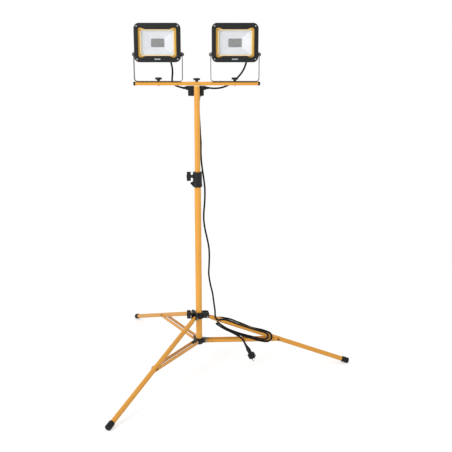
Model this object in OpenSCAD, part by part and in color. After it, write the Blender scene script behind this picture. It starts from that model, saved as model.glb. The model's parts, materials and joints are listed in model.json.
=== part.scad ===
// Twin-head LED work light on a telescopic folding tripod.
// Millimetres, +Z up. The light stands on Z = 0, the lamps face -Y,
// and the origin is below the middle of the tripod's footprint.

/* [Mast] */
// Outer diameter of the lower mast tube
mast_lo_d = 33; // [32:0.5:34]
// Outer diameter of the upper mast tube
mast_up_d = 28; // [27:0.5:28]
// Height of the crossbar's axis above the floor
bar_z = 1466; // [1420:1:1480]
// Height of the top edge of the lower tube
mast_lo_top = 1022; // [1015:1:1022]
// Height of the lower end of the upper tube
mast_up_end = 640; // [600:1:700]

/* [Crossbar] */
// Overall length with both end plugs
bar_len = 614; // [600:1:640]
// Outer diameter of the crossbar tube
bar_d = 18; // [18:1:20]
// Distance of each lamp from the mast's axis
lamp_x = 184.5; // [175:0.5:186]

/* [Lamp heads] */
// Width of the front frame
frame_w = 222; // [218:1:222]
// Height of the front frame
frame_h = 182; // [178:1:186]
// Corner radius of the front frame
frame_r = 26; // [20:1:30]
// Height of the tilt axis above the crossbar's axis
tilt_rise = 137; // [130:1:145]
// Number of cooling fins on the back
fins = 15; // [9:2:15]

/* [Tripod] */
// Distance of the end of each foot from the mast's axis
foot_r = 794; // [760:1:800]
// Outer diameter of the leg tubes
leg_d = 24; // [22:0.5:24]
// Height of the upper leg hinges
hinge_z = 271; // [271:1:272]
// Height of the lower brace hinges
brace_z = 137; // [136:1:138]
// Turn of the tripod against the crossbar, in degrees
leg_turn = 1.35; // [0:0.05:2]

/* [Cable] */
// Diameter of the supply cable and of the lamp leads
cord_d = 9; // [8:0.1:9.2]

/* [Hidden] */
$fn = 48;
eps = 0.01;

// mast axis, so that the footprint is centred on the origin
mast_at = [-188, 9, 0];

mast_lo_wall = 1.7;
mast_lo_id = mast_lo_d - 2 * mast_lo_wall;
mast_up_id = mast_up_d - 3.4;
hinge_r = 46;      // radius of the leg hinges
brace_r = 40;      // radius of the lower brace hinges
foot_tip_z = 10.5; // height of the middle of a foot's end face
leg_az = [leg_turn - 120, leg_turn, leg_turn + 120];
leg_dip = atan((hinge_z - foot_tip_z) / (foot_r - hinge_r));
leg_len = norm([foot_r - hinge_r, hinge_z - foot_tip_z]);
joint_s = 393;     // brace joint, measured down the leg from its hinge
joint_r = hinge_r + joint_s * cos(leg_dip);
joint_z = hinge_z - joint_s * sin(leg_dip);
brace_len = norm([joint_r - brace_r, joint_z - brace_z]);
brace_rise = atan((joint_z - brace_z) / (joint_r - brace_r));
tilt_z = bar_z + tilt_rise;
head_mid = 55;     // the head's middle above its tilt axis
yellow = [0.95, 0.66, 0.24];
black = [0.13, 0.13, 0.14];

module at_mast() translate(mast_at) children();
module at_leg(i) rotate([0, 0, leg_az[i]]) children();
// frame of a leg: origin at its hinge, +X down the leg, +Y sideways, +Z square to it
module along_leg(i) at_leg(i) translate([hinge_r, 0, hinge_z]) rotate([0, leg_dip, 0]) children();
module rod_x(r, x0, x1) translate([x0, 0, 0]) rotate([0, 90, 0]) cylinder(r = r, h = x1 - x0);
module rod_y(r, y0, y1) translate([0, y1, 0]) rotate([90, 0, 0]) cylinder(r = r, h = y1 - y0);
module ring(ro, ri, h) difference() { cylinder(r = ro, h = h); translate([0, 0, -1]) cylinder(r = ri, h = h + 2); }
// plate in the XZ plane with round corners, from y0 to y1
module plate(w, h, r, y0, y1) translate([0, y1, 0]) rotate([90, 0, 0]) linear_extrude(y1 - y0) round_rect(w, h, r);
module round_rect(w, h, r) {
  square([w - 2 * r, h], center = true);
  square([w, h - 2 * r], center = true);
  for (x = [-1, 1], y = [-1, 1]) translate([x * (w / 2 - r), y * (h / 2 - r)]) circle(r = r);
}

// ---------- mast ----------
module mast_lower() color(yellow) difference() {
  translate([0, 0, 122]) cylinder(d = mast_lo_d, h = mast_lo_top - 122);
  translate([0, 0, 121]) cylinder(d = mast_lo_id, h = mast_lo_top - 120);
  translate([0, 0, 1011]) rod_x(4.4, -25, 0);
}
module clamp_collar() color(black) difference() {
  union() {
    translate([0, 0, 960]) cylinder(r = 22, h = 68);
    translate([0, 0, 957]) cylinder(r1 = 20, r2 = 23, h = 3);
    translate([0, 0, 960]) cylinder(r = 23, h = 12);
    translate([0, 0, 1028]) cylinder(r = 23.4, h = 6);
    translate([0, 0, 1011]) rod_x(8, -31, 0);
    translate([0, 0, 976]) rod_x(6, -27, 0);
    translate([0, 0, 976]) rod_x(4.5, -36, -26.9);
  }
  translate([0, 0, 956]) cylinder(d = mast_lo_d, h = mast_lo_top - 956);
  translate([0, 0, mast_lo_top - 1]) cylinder(d = mast_lo_d, h = 1027 - mast_lo_top);
  translate([0, 0, 1020]) cylinder(r = 14.4, h = 20);
  translate([0, 0, 1011]) rod_x(4.05, -32, 0);
}
module collar_bush() color([0.2, 0.2, 0.2]) difference() {
  union() {
    translate([0, 0, mast_lo_top - 40]) cylinder(d = mast_lo_id - 0.1, h = 40);
    translate([0, 0, mast_lo_top]) cylinder(d = mast_lo_d - 0.4, h = 3);
  }
  translate([0, 0, mast_lo_top - 41]) cylinder(d = mast_up_d + 0.1, h = 50);
  translate([0, 0, 1011]) rod_x(4.4, -25, 0);
}
// winged knob on a screw, its axis along -X from the origin; wings along Z
module wing_knob(stem, reach) {
  rod_x(4, -reach - 4, -14.3);
  rod_x(7, -reach - 2, -stem);
  difference() {
    translate([-reach - 20, -8, -23]) cube([20, 16, 46]);
    for (s = [-1, 1]) translate([-reach - 21, s * 8, 0]) rotate([0, 90, 0]) for (t = [-1, 1])
      translate([t * 20, s * 6.5, 0]) cylinder(r = 9, h = 22);
  }
  rod_x(9.5, -reach - 21.5, -reach);
}
module collar_knob() color(black) translate([0, 0, 1011]) wing_knob(31.3, 34);
module mast_upper() color(yellow) translate([0, 0, mast_up_end])
  ring(mast_up_d / 2, mast_up_id / 2, 1450 - mast_up_end);
module mast_glide() color([0.2, 0.2, 0.2]) {
  translate([0, 0, mast_up_end - 6]) cylinder(d = mast_lo_id - 0.1, h = 6);
  translate([0, 0, mast_up_end - 1]) cylinder(d = mast_up_id - 0.1, h = 22);
}
module mast_cap() color(yellow) difference() {
  union() {
    translate([0, 0, 1422]) cylinder(d = mast_up_id - 0.1, h = 30);
    translate([0, 0, 1450]) cylinder(d = mast_up_d, h = 10);
  }
  translate([0, 0, bar_z]) rod_x(bar_d / 2 + 0.02, -20, 20);
  translate([0, 0, 1428]) cylinder(r = 4.05, h = 40);
}

// ---------- crossbar ----------
module crossbar() color(yellow) translate([0, 0, bar_z]) difference() {
  rod_x(bar_d / 2, -bar_len / 2 + 10, bar_len / 2 - 10);
  rod_x(bar_d / 2 - 1.6, -bar_len, bar_len);
  for (x = [-lamp_x, 0, lamp_x]) translate([x, 0, -20]) cylinder(r = 4.05, h = 40);
}
module crossbar_plugs() color(black) translate([0, 0, bar_z]) for (s = [0, 1]) mirror([s, 0, 0]) {
  rod_x(bar_d / 2 + 0.3, bar_len / 2 - 10, bar_len / 2);
  rod_x(bar_d / 2 - 1.7, bar_len / 2 - 26, bar_len / 2 - 9);
}
// T-shaped top knob on a vertical screw that ends at z = low
module top_knob(seat, low) {
  translate([0, 0, low]) cylinder(r = 4, h = seat + 6 - low);
  translate([0, 0, seat]) cylinder(r1 = 6, r2 = 9, h = 7);
  translate([0, 0, seat + 6]) cylinder(r = 9, h = 11);
  translate([-10, -5.5, seat + 6.5]) cube([20, 11, 10]);
  for (x = [-10.5, 10.5]) translate([x, 0, seat + 6.5]) cylinder(r = 5.5, h = 10);
}
module centre_knob() color(black) top_knob(bar_z + bar_d / 2 + 0.3, 1432);

// ---------- junction box behind the mast ----------
module box_base() color(black) difference() {
  union() {
    translate([-44, 18.5, 1405]) cube([77, 30, 48]);
    // saddle that grips the mast
    translate([-12, 12, 1409]) cube([24, 7, 40]);
    for (x = [-44, 33]) translate([x == 33 ? 28 : -50, 26, 1433]) cube([11, 22, 20]);
  }
  translate([-41, 21.5, 1408]) cube([71, 40, 42]);
  translate([0, 0, 1400]) cylinder(d = mast_up_d + 0.1, h = 60);
  translate([0, 38, 1443]) rod_x(6.5, -60, 60);
  translate([8, 38, 1400]) cylinder(r = 6.5, h = 20);
}
module box_lid() color(black) difference() {
  union() {
    translate([-44, 48.5, 1405]) cube([77, 5, 48]);
    translate([-40.8, 45, 1408.2]) cube([70.6, 4, 41.6]);
    for (x = [-37.5, 26.5], z = [1411.5, 1446.5]) translate([x, 53, z]) rod_y(2.8, 0, 2);
  }
  translate([-37, 44, 1412]) cube([63, 6, 34]);
}
module box_glands() color(black) {
  // one to each side and one below, each bored for its cable
  for (s = [-1, 1]) translate([-5.5, 38, 1443]) scale([s, 1, 1]) difference() {
    union() {
      rod_x(6.4, 34, 45.2);
      translate([45.2, 0, 0]) rotate([0, 90, 0]) cylinder(r = 9.4, h = 4);
      translate([49.2, 0, 0]) rotate([0, 90, 0]) cylinder(r1 = 8.6, r2 = 6.6, h = 5.3);
    }
    rod_x(cord_d / 2 + 0.05, 33, 60);
  }
  translate([8, 38, 0]) difference() {
    union() {
      translate([0, 0, 1404]) cylinder(r = 6.4, h = 8);
      translate([0, 0, 1400.5]) cylinder(r = 9.4, h = 4.4);
      translate([0, 0, 1378]) cylinder(r1 = 5.6, r2 = 7.8, h = 22.6);
    }
    translate([0, 0, 1370]) cylinder(d = cord_d + 0.1, h = 50);
  }
}

// ---------- upper hub, sliding on the lower tube ----------
module hub_upper() color(black) difference() {
  union() {
    translate([0, 0, 261]) cylinder(r = 25, h = 33);
    for (i = [0, 1, 2]) at_leg(i) for (s = [-1, 1]) {
      translate([18, s < 0 ? -15.6 : 10.6, 264.5]) cube([30, 5, 32.5]);
      translate([48, 0, 0]) translate([0, s < 0 ? -10.6 : 15.6, 279]) rotate([90, 0, 0]) cylinder(r = 6, h = 5);
      translate([40, s < 0 ? -15.6 : 10.6, 264.5]) cube([13.9, 5, 14.5]);
    }
    translate([0, 0, 280]) rod_x(8, -39, 0);
  }
  translate([0, 0, 250]) cylinder(r = mast_lo_d / 2 + 0.06, h = 80);
  for (i = [0, 1, 2]) at_leg(i) translate([hinge_r, 0, hinge_z]) rod_y(3.02, -20, 20);
  translate([0, 0, 280]) rod_x(4.05, -42, 0);
}
module hub_knob() color(black) translate([0, 0, 280]) {
  rod_x(4, -46, -17);
  rod_x(7, -44, -39.3);
  difference() {
    translate([-62.5, -8, -23]) cube([20, 16, 46]);
    for (s = [-1, 1]) translate([-63.5, s * 8, 0]) rotate([0, 90, 0]) for (t = [-1, 1])
      translate([t * 20, s * 6.5, 0]) cylinder(r = 9, h = 22);
  }
  rod_x(9.5, -64, -42.5);
}
// hinge pins of the legs, one solid each
module hub_pins() color("silver") for (i = [0, 1, 2]) at_leg(i) translate([hinge_r, 0, hinge_z]) {
  rod_y(3, -16, 16);
  for (s = [0, 1]) mirror([0, s, 0]) rod_y(5, 15.7, 18.2);
}

// ---------- legs ----------
module leg(i) color(yellow) along_leg(i) difference() {
  union() {
    rod_x(10, -9, 16);
    translate([14, 0, 0]) rotate([0, 90, 0]) cylinder(r1 = 10, r2 = leg_d / 2, h = 10);
    rod_x(leg_d / 2, 23.9, leg_len - 12);
    translate([joint_s, 0, 0]) rod_y(7, -12.3, 12.3);
    translate([joint_s - 9, -12.3, -11]) cube([18, 24.6, 12]);
  }
  rod_x(leg_d / 2 - 1.6, 28, joint_s - 16);
  rod_x(leg_d / 2 - 1.6, joint_s + 16, leg_len);
  rod_y(3.05, -20, 20);
}
module foot(i) color(black) difference() {
  along_leg(i) difference() {
    union() {
      rod_x(leg_d / 2 + 3, leg_len - 35, leg_len);
      translate([leg_len - 39, 0, 0]) rotate([0, 90, 0]) cylinder(r1 = leg_d / 2 + 1.4, r2 = leg_d / 2 + 3, h = 4.1);
    }
    rod_x(leg_d / 2, leg_len - 60, leg_len - 12);
  }
  translate([-1000, -1000, -20]) cube([2000, 2000, 20]);
}
// two parallel flat bars that straddle the leg, with their rivet heads
module brace(i) color(yellow) at_leg(i) translate([brace_r, 0, brace_z]) rotate([0, -brace_rise, 0])
  for (s = [0, 1]) mirror([0, s, 0]) difference() {
    union() {
      translate([0, 12.4, -9.5]) cube([brace_len, 2, 19]);
      rod_y(9.5, 12.4, 14.4);
      translate([brace_len, 0, 0]) rod_y(9.5, 12.4, 14.4);
      translate([brace_len, 0, 0]) rod_y(5.5, 14.3, 17);
    }
    rod_y(3.05, 10, 20);
  }
module hub_lower() color(black) difference() {
  union() {
    translate([0, 0, 118]) cylinder(r = 21, h = 33);
    for (i = [0, 1, 2]) at_leg(i) {
      translate([12, -12, 126]) cube([28, 24, 22]);
      translate([brace_r, 0, brace_z]) rod_y(11, -12, 12);
    }
  }
  translate([0, 0, 122]) cylinder(d = mast_lo_d, h = 60);
  for (i = [0, 1, 2]) at_leg(i) translate([brace_r, 0, brace_z]) rod_y(3.02, -20, 20);
}
module hub_lower_pins() color("silver") for (i = [0, 1, 2]) at_leg(i) translate([brace_r, 0, brace_z]) {
  rod_y(3, -15, 15);
  for (s = [0, 1]) mirror([0, s, 0]) rod_y(5, 14.7, 17.2);
}

// ---------- lamp heads: origin on the tilt axis, front towards -Y ----------
module at_head(s) translate([s * lamp_x, 0, tilt_z]) children();
// opening of the front frame: a wide slot with an ear at each corner
module trim_shape(grow) {
  square([182 + 2 * grow, 122 + 2 * grow], center = true);
  for (x = [-1, 1], y = [-1, 1]) translate([x * 79, y * 57]) circle(r = 12 + grow);
}
module head_housing(s) color([0.2, 0.2, 0.21]) at_head(s) difference() {
  union() {
    translate([0, 0, head_mid]) plate(212, 172, 22, -16, 6);
    // driver compartment
    translate([0, 0, 41]) plate(140, 66, 8, 5, 34);
    // cooling fins above and beside the compartment
    for (k = [0:fins - 1]) translate([(k - (fins - 1) / 2) * 13.6, 5, 0])
      translate([-1.3, 0, abs((k - (fins - 1) / 2) * 13.6) < 72 ? 78 : 12]) cube([2.6, 22, abs((k - (fins - 1) / 2) * 13.6) < 72 ? 56 : 112]);
    for (m = [0, 1]) mirror([m, 0, 0]) rod_x(10, 100, 114.2);
  }
  translate([0, 0, head_mid]) plate(192, 152, 14, -17, -2);
  translate([0, 0, 41]) plate(128, 54, 4, 9, 40);
  for (m = [0, 1]) mirror([m, 0, 0]) rod_x(4.05, 104, 120);
  // gland hole and the bushed cable way through to the LED board
  translate([58, 20, 0]) cylinder(r = 6.05, h = 16);
  translate([0, 0, 41]) rod_y(4.5, -5, 12);
}
module head_frame(s) color(black) at_head(s) translate([0, 0, head_mid]) difference() {
  plate(frame_w, frame_h, frame_r, -34, -16.1);
  translate([0, -10, 0]) rotate([90, 0, 0]) linear_extrude(30) trim_shape(0);
  plate(182, 140, 14, -28, -15);
  for (x = [-1, 1], z = [-1, 1]) translate([x * 97, -34, z * 76.5]) rod_y(3.4, -1, 1.6);
}
module head_trim(s) color([0.88, 0.64, 0.25]) at_head(s) translate([0, 0, head_mid]) difference() {
  translate([0, -28.2, 0]) rotate([90, 0, 0]) linear_extrude(4) trim_shape(-0.4);
  plate(154, 115, 4, -33, -27);
  for (x = [-1, 1], z = [-1, 1]) translate([x * 79, -32.2, z * 57]) rod_y(2.6, -1, 1.2);
}
module head_glass(s) color([0.8, 0.88, 0.9, 0.35]) at_head(s) translate([0, 0, head_mid]) plate(172, 130, 6, -27.6, -23.6);
module head_gasket(s) color([0.1, 0.1, 0.1]) at_head(s) translate([0, 0, head_mid]) difference() {
  plate(181, 139, 13.5, -27.6, -23.6);
  plate(172.6, 130.6, 6, -30, -20);
}
// shallow dish with four flat sloping walls round the LED board
module head_reflector(s) color([0.92, 0.92, 0.9]) at_head(s) translate([0, 0, head_mid]) difference() {
  union() {
    plate(181, 139, 13.5, -23.2, -21.8);
    hull() { translate([-82, -22.2, -63]) cube([164, 0.4, 126]); translate([-38, -4.6, -27]) cube([76, 0.4, 54]); }
  }
  hull() { translate([-80, -24.2, -61]) cube([160, 0.4, 122]); translate([-34, -4.4, -23]) cube([68, 1.4, 46]); }
}
module led_board(s) color([0.6, 0.6, 0.5]) at_head(s) translate([0, 0, head_mid]) {
  translate([-45, -3.6, -30]) cube([90, 1.5, 60]);
  translate([-31, -4.6, -20]) cube([62, 1.05, 40]);
}
module driver(s) color([0.3, 0.3, 0.32]) at_head(s) {
  translate([-50, 10, 21]) cube([84, 19, 38]);
  translate([38, 10, 24]) cube([14, 14, 30]);
}
module driver_cover(s) color(black) at_head(s) translate([0, 0, 41]) {
  plate(140, 66, 8, 34.1, 36.5);
  plate(127.6, 53.6, 3.8, 31, 34.2);
}
module head_gland(s) color(black) at_head(s) translate([58, 20, 0]) difference() {
  union() {
    translate([0, 0, 0]) cylinder(r = 6, h = 14);
    translate([0, 0, 3.5]) cylinder(r = 9, h = 4.4);
    translate([0, 0, -17]) cylinder(r1 = 5.6, r2 = 7.6, h = 20.6);
  }
  translate([0, 0, -20]) cylinder(d = cord_d + 0.1, h = 40);
}
module head_screws(s) color("silver") at_head(s) {
  translate([0, 0, head_mid]) for (x = [-1, 1], z = [-1, 1]) {
    translate([x * 97, -34, z * 76.5]) rod_y(3.3, 0, 1.5);
    translate([x * 79, -32.2, z * 57]) rod_y(2.5, -0.2, 1.1);
  }
  translate([0, 0, 41]) for (x = [-63, 63], z = [-26, 26]) translate([x, 36.5, z]) rod_y(3.2, 0, 2);
}
module pivot_bolts(s) color("silver") at_head(s) for (m = [0, 1]) mirror([m, 0, 0]) {
  rod_x(4, 105, 118.6);
  rod_x(6.6, 118, 122.5);
}
// stirrup of flat strip, bored for its bolt and for the tilt bolts
module bracket(s) color([0.45, 0.45, 0.47]) translate([s * lamp_x, 0, bar_z + bar_d / 2 + 0.2]) difference() {
  union() {
    translate([0, 12.5, 0]) rotate([90, 0, 0]) linear_extrude(25) difference() {
      union() {
        translate([-101.5, 0]) square([203, 20]);
        for (m = [-1, 1]) translate([m * 101.5, 16]) circle(r = 16);
        for (m = [-1, 1]) translate([m > 0 ? 114.5 : -117.5, 16]) square([3, tilt_rise - bar_d / 2 - 16]);
      }
      translate([-101.5, 3]) square([203, 40]);
      for (m = [-1, 1]) translate([m * 101.5, 16]) circle(r = 13);
      translate([-114.5, 16]) square([229, 30]);
    }
    for (m = [0, 1]) mirror([m, 0, 0]) translate([0, 0, tilt_rise - bar_d / 2 - 0.2]) rod_x(12.5, 114.5, 117.5);
  }
  translate([0, 0, -5]) cylinder(r = 4.05, h = 20);
  translate([0, 0, tilt_rise - bar_d / 2 - 0.2]) rod_x(4.05, -130, 130);
}
module bracket_knob(s) color(black) translate([s * lamp_x, 0, 0]) top_knob(bar_z + bar_d / 2 + 3.4, 1453.5);

// ---------- cords ----------
// smooth curve through hand-set points, swept as a tube with 8 sides
function cr(a, b, c, d, t) = 0.5 * (2 * b + (c - a) * t + (2 * a - 5 * b + 4 * c - d) * t * t + (3 * b - a - 3 * c + d) * t * t * t);
function pick(p, i) = i < 0 ? 2 * p[0] - p[1] : i > len(p) - 1 ? 2 * p[len(p) - 1] - p[len(p) - 2] : p[i];
function smooth(p, n) = [for (i = [0:len(p) - 2], k = [0:n - 1]) cr(pick(p, i - 1), p[i], p[i + 1], pick(p, i + 2), k / n), p[len(p) - 1]];
function unit(v) = v / norm(v);
function tangent(p, i) = unit(pick(p, i + 1) - pick(p, i - 1));
// frame carried along the curve without twist
function carry(p, i = 1, acc = []) =
  i == 1 && len(acc) == 0 ? carry(p, 1, [unit(cross(tangent(p, 0), abs(tangent(p, 0)[0]) < 0.8 ? [1, 0, 0] : [0, 1, 0]))]) :
  i > len(p) - 1 ? acc :
  carry(p, i + 1, concat(acc, [unit(acc[i - 1] - (acc[i - 1] * tangent(p, i)) * tangent(p, i))]));
module tube(p, d, sides = 8) {
  n = len(p);
  u = carry(p);
  pts = [for (i = [0:n - 1]) let (v = cross(tangent(p, i), u[i])) for (k = [0:sides - 1])
    p[i] + d / 2 * (cos(360 * k / sides) * u[i] + sin(360 * k / sides) * v)];
  quads = [for (i = [0:n - 2], k = [0:sides - 1]) each [
    [i * sides + k, (i + 1) * sides + k, i * sides + (k + 1) % sides],
    [i * sides + (k + 1) % sides, (i + 1) * sides + k, (i + 1) * sides + (k + 1) % sides]]];
  polyhedron(points = pts, faces = concat([[for (k = [0:sides - 1]) k]], quads,
    [[for (k = [sides - 1:-1:0]) (n - 1) * sides + k]]));
}
// point given down the leg, to its front side and square to it, on leg b
function on_leg(q) = let (x = hinge_r + q[0] * cos(leg_dip) + q[2] * sin(leg_dip))
  [x * cos(leg_turn) + q[1] * sin(leg_turn), x * sin(leg_turn) - q[1] * cos(leg_turn),
   hinge_z - q[0] * sin(leg_dip) + q[2] * cos(leg_dip)];

hang = [
  [8, 38, 1378], [8, 38, 1350], [9, 37, 1310], [11.5, 36, 1264], [14, 35, 1215], [16.5, 34, 1175],
  [16, 32, 1130], [18, 30, 1086], [23, 28, 1041], [29, 26, 1000], [34, 25, 955], [35, 23, 915],
  [33, 21, 870], [29, 18, 820], [29, 15, 780], [35, 12, 735], [46, 8, 685], [54, 5, 640],
  [56, 2, 590], [54, -1, 540], [53, -4, 500], [60.5, -8, 450], [72, -11, 400], [77.5, -13, 358]
];
// wound twice round leg b, then the free end: [down the leg, to the front, square to it]
wind = [
  [24, 15, 46], [30, 15.5, 30], [37, 15.5, 15], [44.5, 16.6, 5.3], [55, 17.3, 1.7],
  [65, 16.5, 5.6], [76, 13.9, 10.5], [89, 10.7, 13.7], [106, 9.6, 14.5], [130, 10.4, 14],
  [150, 11.7, 12.8], [170, 12.6, 12], [215, 12.6, 12], [255, 12.6, 12], [290, 11.4, 13.1],
  [312, 11.1, 13.4], [324, 13.3, 11.2], [332, 16.6, 5.3], [335, 18.5, -4.5], [332, 19.5, -13.5],
  [324.5, 20, -20.5], [312, 20, -24], [285, 18.6, -26.6], [258, 15.8, -28.8], [228, 12.5, -32],
  [190, 11.5, -33.8], [145, 11, -32.8], [118, 8, -31.2], [98, 2, -28.5], [82, -5.5, -25.8],
  [69, -11.5, -22.2], [58, -15.8, -17], [53.5, -18, -7.5], [57.5, -17.5, 2.5], [68, -15.5, 7.9],
  [80, -13, 11.6], [93, -9.5, 14.6], [107, -7.3, 18], [130, -6.5, 18.5], [150, -7, 16.5],
  [170, -9.3, 14.7], [205, -13.6, 10.8], [235, -15.8, 7.2], [262, -14.8, 9.1], [290, -10.4, 14],
  [313, -4.2, 16.9], [330, 0.5, 17.4], [341.5, 5.6, 16.5], [350.3, 14.1, 10.2],
  [354.8, 19.7, -4.5], [350, 19.4, -19], [339, 19.8, -28.5], [321, 20, -33.5], [290, 20.5, -36.5],
  [240, 21.5, -37], [190, 21.5, -38], [135, 20.5, -36], [98, 19.5, -31], [84, 19, -28.2],
  [71, 18, -25.8], [60.3, 13.6, -24.2], [55.8, 4, -24], [60, -5.5, -27], [70.5, -9.8, -33],
  [87, -6.8, -38.3], [116, 1.5, -41.8], [150, 8, -44], [178, 14, -47.5], [197, 19.5, -50.5],
  [212.5, 23.2, -57]
];
plug_at = [239.5, -18, 127];
plug_lean = 28;
pin_turn = 30;
cable_path = concat(smooth(hang, 1), [for (q = wind) on_leg(q)], [plug_at]);

module main_cable() color(black) tube(cable_path, cord_d);
// rubber plug: long tapering neck, round drum, two pins
module at_plug() translate(plug_at) rotate([0, 180 - plug_lean, 0]) children();
module plug() color(black) at_plug() difference() {
  union() {
    cylinder(r1 = 5.5, r2 = 6.2, h = 21.5);
    translate([0, 0, 21]) cylinder(r1 = 7.2, r2 = 12, h = 26);
    translate([0, 0, 46]) cylinder(r = 10, h = 23);
    translate([0, 0, 68]) cylinder(r = 19, h = 24);
  }
  for (x = [-1, 1]) rotate([0, 0, pin_turn]) translate([0, x * 9.5, 80]) cylinder(r = 2.2, h = 20);
}
module plug_pins() color([0.85, 0.8, 0.65]) at_plug() for (x = [-1, 1]) rotate([0, 0, pin_turn]) translate([0, x * 9.5, 80]) {
  cylinder(r = 2.2, h = 13);
  translate([0, 0, 12]) cylinder(r = 2.4, h = 18);
}
lead_l = [
  [-126.5, 20, 1586], [-126, 20, 1574], [-123, 21, 1560], [-119, 23, 1540], [-118, 25, 1518], [-120, 28, 1497],
  [-121, 31, 1480], [-117, 34, 1465], [-107, 36, 1456], [-93, 38, 1450], [-76, 38, 1445], [-60, 38, 1443]
];
lead_r = [
  [242.5, 20, 1586], [241.5, 20, 1574], [237, 21, 1558], [229, 23, 1536], [215, 26, 1513], [198, 30, 1493],
  [182, 33, 1477], [158, 36, 1460], [132, 38, 1448], [105, 38, 1442], [80, 38, 1441], [62, 38, 1442.5], [49, 38, 1443]
];
module lead_left() color(black) tube(lead_l, cord_d);
module lead_right() color(black) tube(lead_r, cord_d);

at_mast() mast_lower();
at_mast() clamp_collar();
at_mast() collar_bush();
at_mast() collar_knob();
at_mast() mast_upper();
at_mast() mast_glide();
at_mast() mast_cap();
at_mast() crossbar();
at_mast() crossbar_plugs();
at_mast() centre_knob();
at_mast() box_base();
at_mast() box_lid();
at_mast() box_glands();
at_mast() hub_upper();
at_mast() hub_knob();
at_mast() hub_pins();
at_mast() leg(0);  // leg_a
at_mast() leg(1);  // leg_b
at_mast() leg(2);  // leg_c
at_mast() foot(0);  // foot_a
at_mast() foot(1);  // foot_b
at_mast() foot(2);  // foot_c
at_mast() brace(0);  // brace_a
at_mast() brace(1);  // brace_b
at_mast() brace(2);  // brace_c
at_mast() hub_lower();
at_mast() hub_lower_pins();
at_mast() head_housing(-1);  // housing_left
at_mast() head_frame(-1);  // frame_left
at_mast() head_trim(-1);  // trim_left
at_mast() head_glass(-1);  // glass_left
at_mast() head_gasket(-1);  // gasket_left
at_mast() head_reflector(-1);  // reflector_left
at_mast() led_board(-1);  // led_board_left
at_mast() driver(-1);  // driver_left
at_mast() driver_cover(-1);  // driver_cover_left
at_mast() head_gland(-1);  // gland_left
at_mast() head_screws(-1);  // screws_left
at_mast() pivot_bolts(-1);  // pivot_bolts_left
at_mast() bracket(-1);  // bracket_left
at_mast() bracket_knob(-1);  // bracket_knob_left
at_mast() lead_left();
at_mast() head_housing(1);  // housing_right
at_mast() head_frame(1);  // frame_right
at_mast() head_trim(1);  // trim_right
at_mast() head_glass(1);  // glass_right
at_mast() head_gasket(1);  // gasket_right
at_mast() head_reflector(1);  // reflector_right
at_mast() led_board(1);  // led_board_right
at_mast() driver(1);  // driver_right
at_mast() driver_cover(1);  // driver_cover_right
at_mast() head_gland(1);  // gland_right
at_mast() head_screws(1);  // screws_right
at_mast() pivot_bolts(1);  // pivot_bolts_right
at_mast() bracket(1);  // bracket_right
at_mast() bracket_knob(1);  // bracket_knob_right
at_mast() lead_right();
at_mast() main_cable();
at_mast() plug();
at_mast() plug_pins();
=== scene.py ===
import bpy, bmesh, math, json
from mathutils import Vector, Matrix
from mathutils.geometry import tessellate_polygon


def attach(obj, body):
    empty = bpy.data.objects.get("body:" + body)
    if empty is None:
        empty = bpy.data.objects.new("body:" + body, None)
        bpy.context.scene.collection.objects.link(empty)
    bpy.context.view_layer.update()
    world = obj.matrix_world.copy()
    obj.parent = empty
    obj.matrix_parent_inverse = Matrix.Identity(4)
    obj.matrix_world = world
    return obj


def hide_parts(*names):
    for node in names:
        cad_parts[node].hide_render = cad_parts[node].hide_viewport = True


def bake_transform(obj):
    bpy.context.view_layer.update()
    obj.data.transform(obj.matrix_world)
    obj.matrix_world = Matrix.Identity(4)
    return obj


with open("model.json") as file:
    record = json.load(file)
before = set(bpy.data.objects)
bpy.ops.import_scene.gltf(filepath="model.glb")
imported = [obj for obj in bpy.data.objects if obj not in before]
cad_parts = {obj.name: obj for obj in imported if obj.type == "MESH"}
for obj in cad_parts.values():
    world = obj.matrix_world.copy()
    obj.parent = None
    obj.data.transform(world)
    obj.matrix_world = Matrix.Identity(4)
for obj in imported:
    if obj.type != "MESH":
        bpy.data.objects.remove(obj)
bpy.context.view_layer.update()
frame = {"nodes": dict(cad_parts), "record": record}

NODES = frame["nodes"]

# ------------------------------------------------------------------ frames (millimetres, mast axis at 0,0)
MAST = Matrix.Translation((-0.188, 0.009, 0.0)) @ Matrix.Scale(0.001, 4)
def T(x, y, z): return Matrix.Translation((x, y, z))
def R(axis, deg): return Matrix.Rotation(math.radians(deg), 4, axis)
BAR_Z, TILT_Z, LAMP_X, MID = 1466.0, 1603.0, 184.5, 55.0
HINGE_R, HINGE_Z, BRACE_R, BRACE_Z = 46.0, 271.0, 40.0, 137.0
FOOT_R, TIP_Z, JOINT_S = 794.0, 10.5, 393.0
DIP = math.degrees(math.atan2(HINGE_Z - TIP_Z, FOOT_R - HINGE_R))
LEG_LEN = math.hypot(FOOT_R - HINGE_R, HINGE_Z - TIP_Z)
JOINT_R = HINGE_R + JOINT_S * math.cos(math.radians(DIP))
JOINT_Z = HINGE_Z - JOINT_S * math.sin(math.radians(DIP))
BRACE_LEN = math.hypot(JOINT_R - BRACE_R, JOINT_Z - BRACE_Z)
RISE = math.degrees(math.atan2(JOINT_Z - BRACE_Z, JOINT_R - BRACE_R))
LEG_TURN = 1.35
AZ = [LEG_TURN - 120, LEG_TURN, LEG_TURN + 120]
def AT_LEG(i): return MAST @ R("Z", AZ[i])
def ALONG_LEG(i): return AT_LEG(i) @ T(HINGE_R, 0, HINGE_Z) @ R("Y", DIP)
def AT_BRACE(i): return AT_LEG(i) @ T(BRACE_R, 0, BRACE_Z) @ R("Y", -RISE)
def AT_HEAD(s): return MAST @ T(s * LAMP_X, 0, TILT_Z)
PLUG_AT, PLUG_LEAN = (239.5, -18.0, 127.0), 28.0
AT_PLUG = MAST @ T(*PLUG_AT) @ R("Y", 180 - PLUG_LEAN) @ R("Z", 30)
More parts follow.
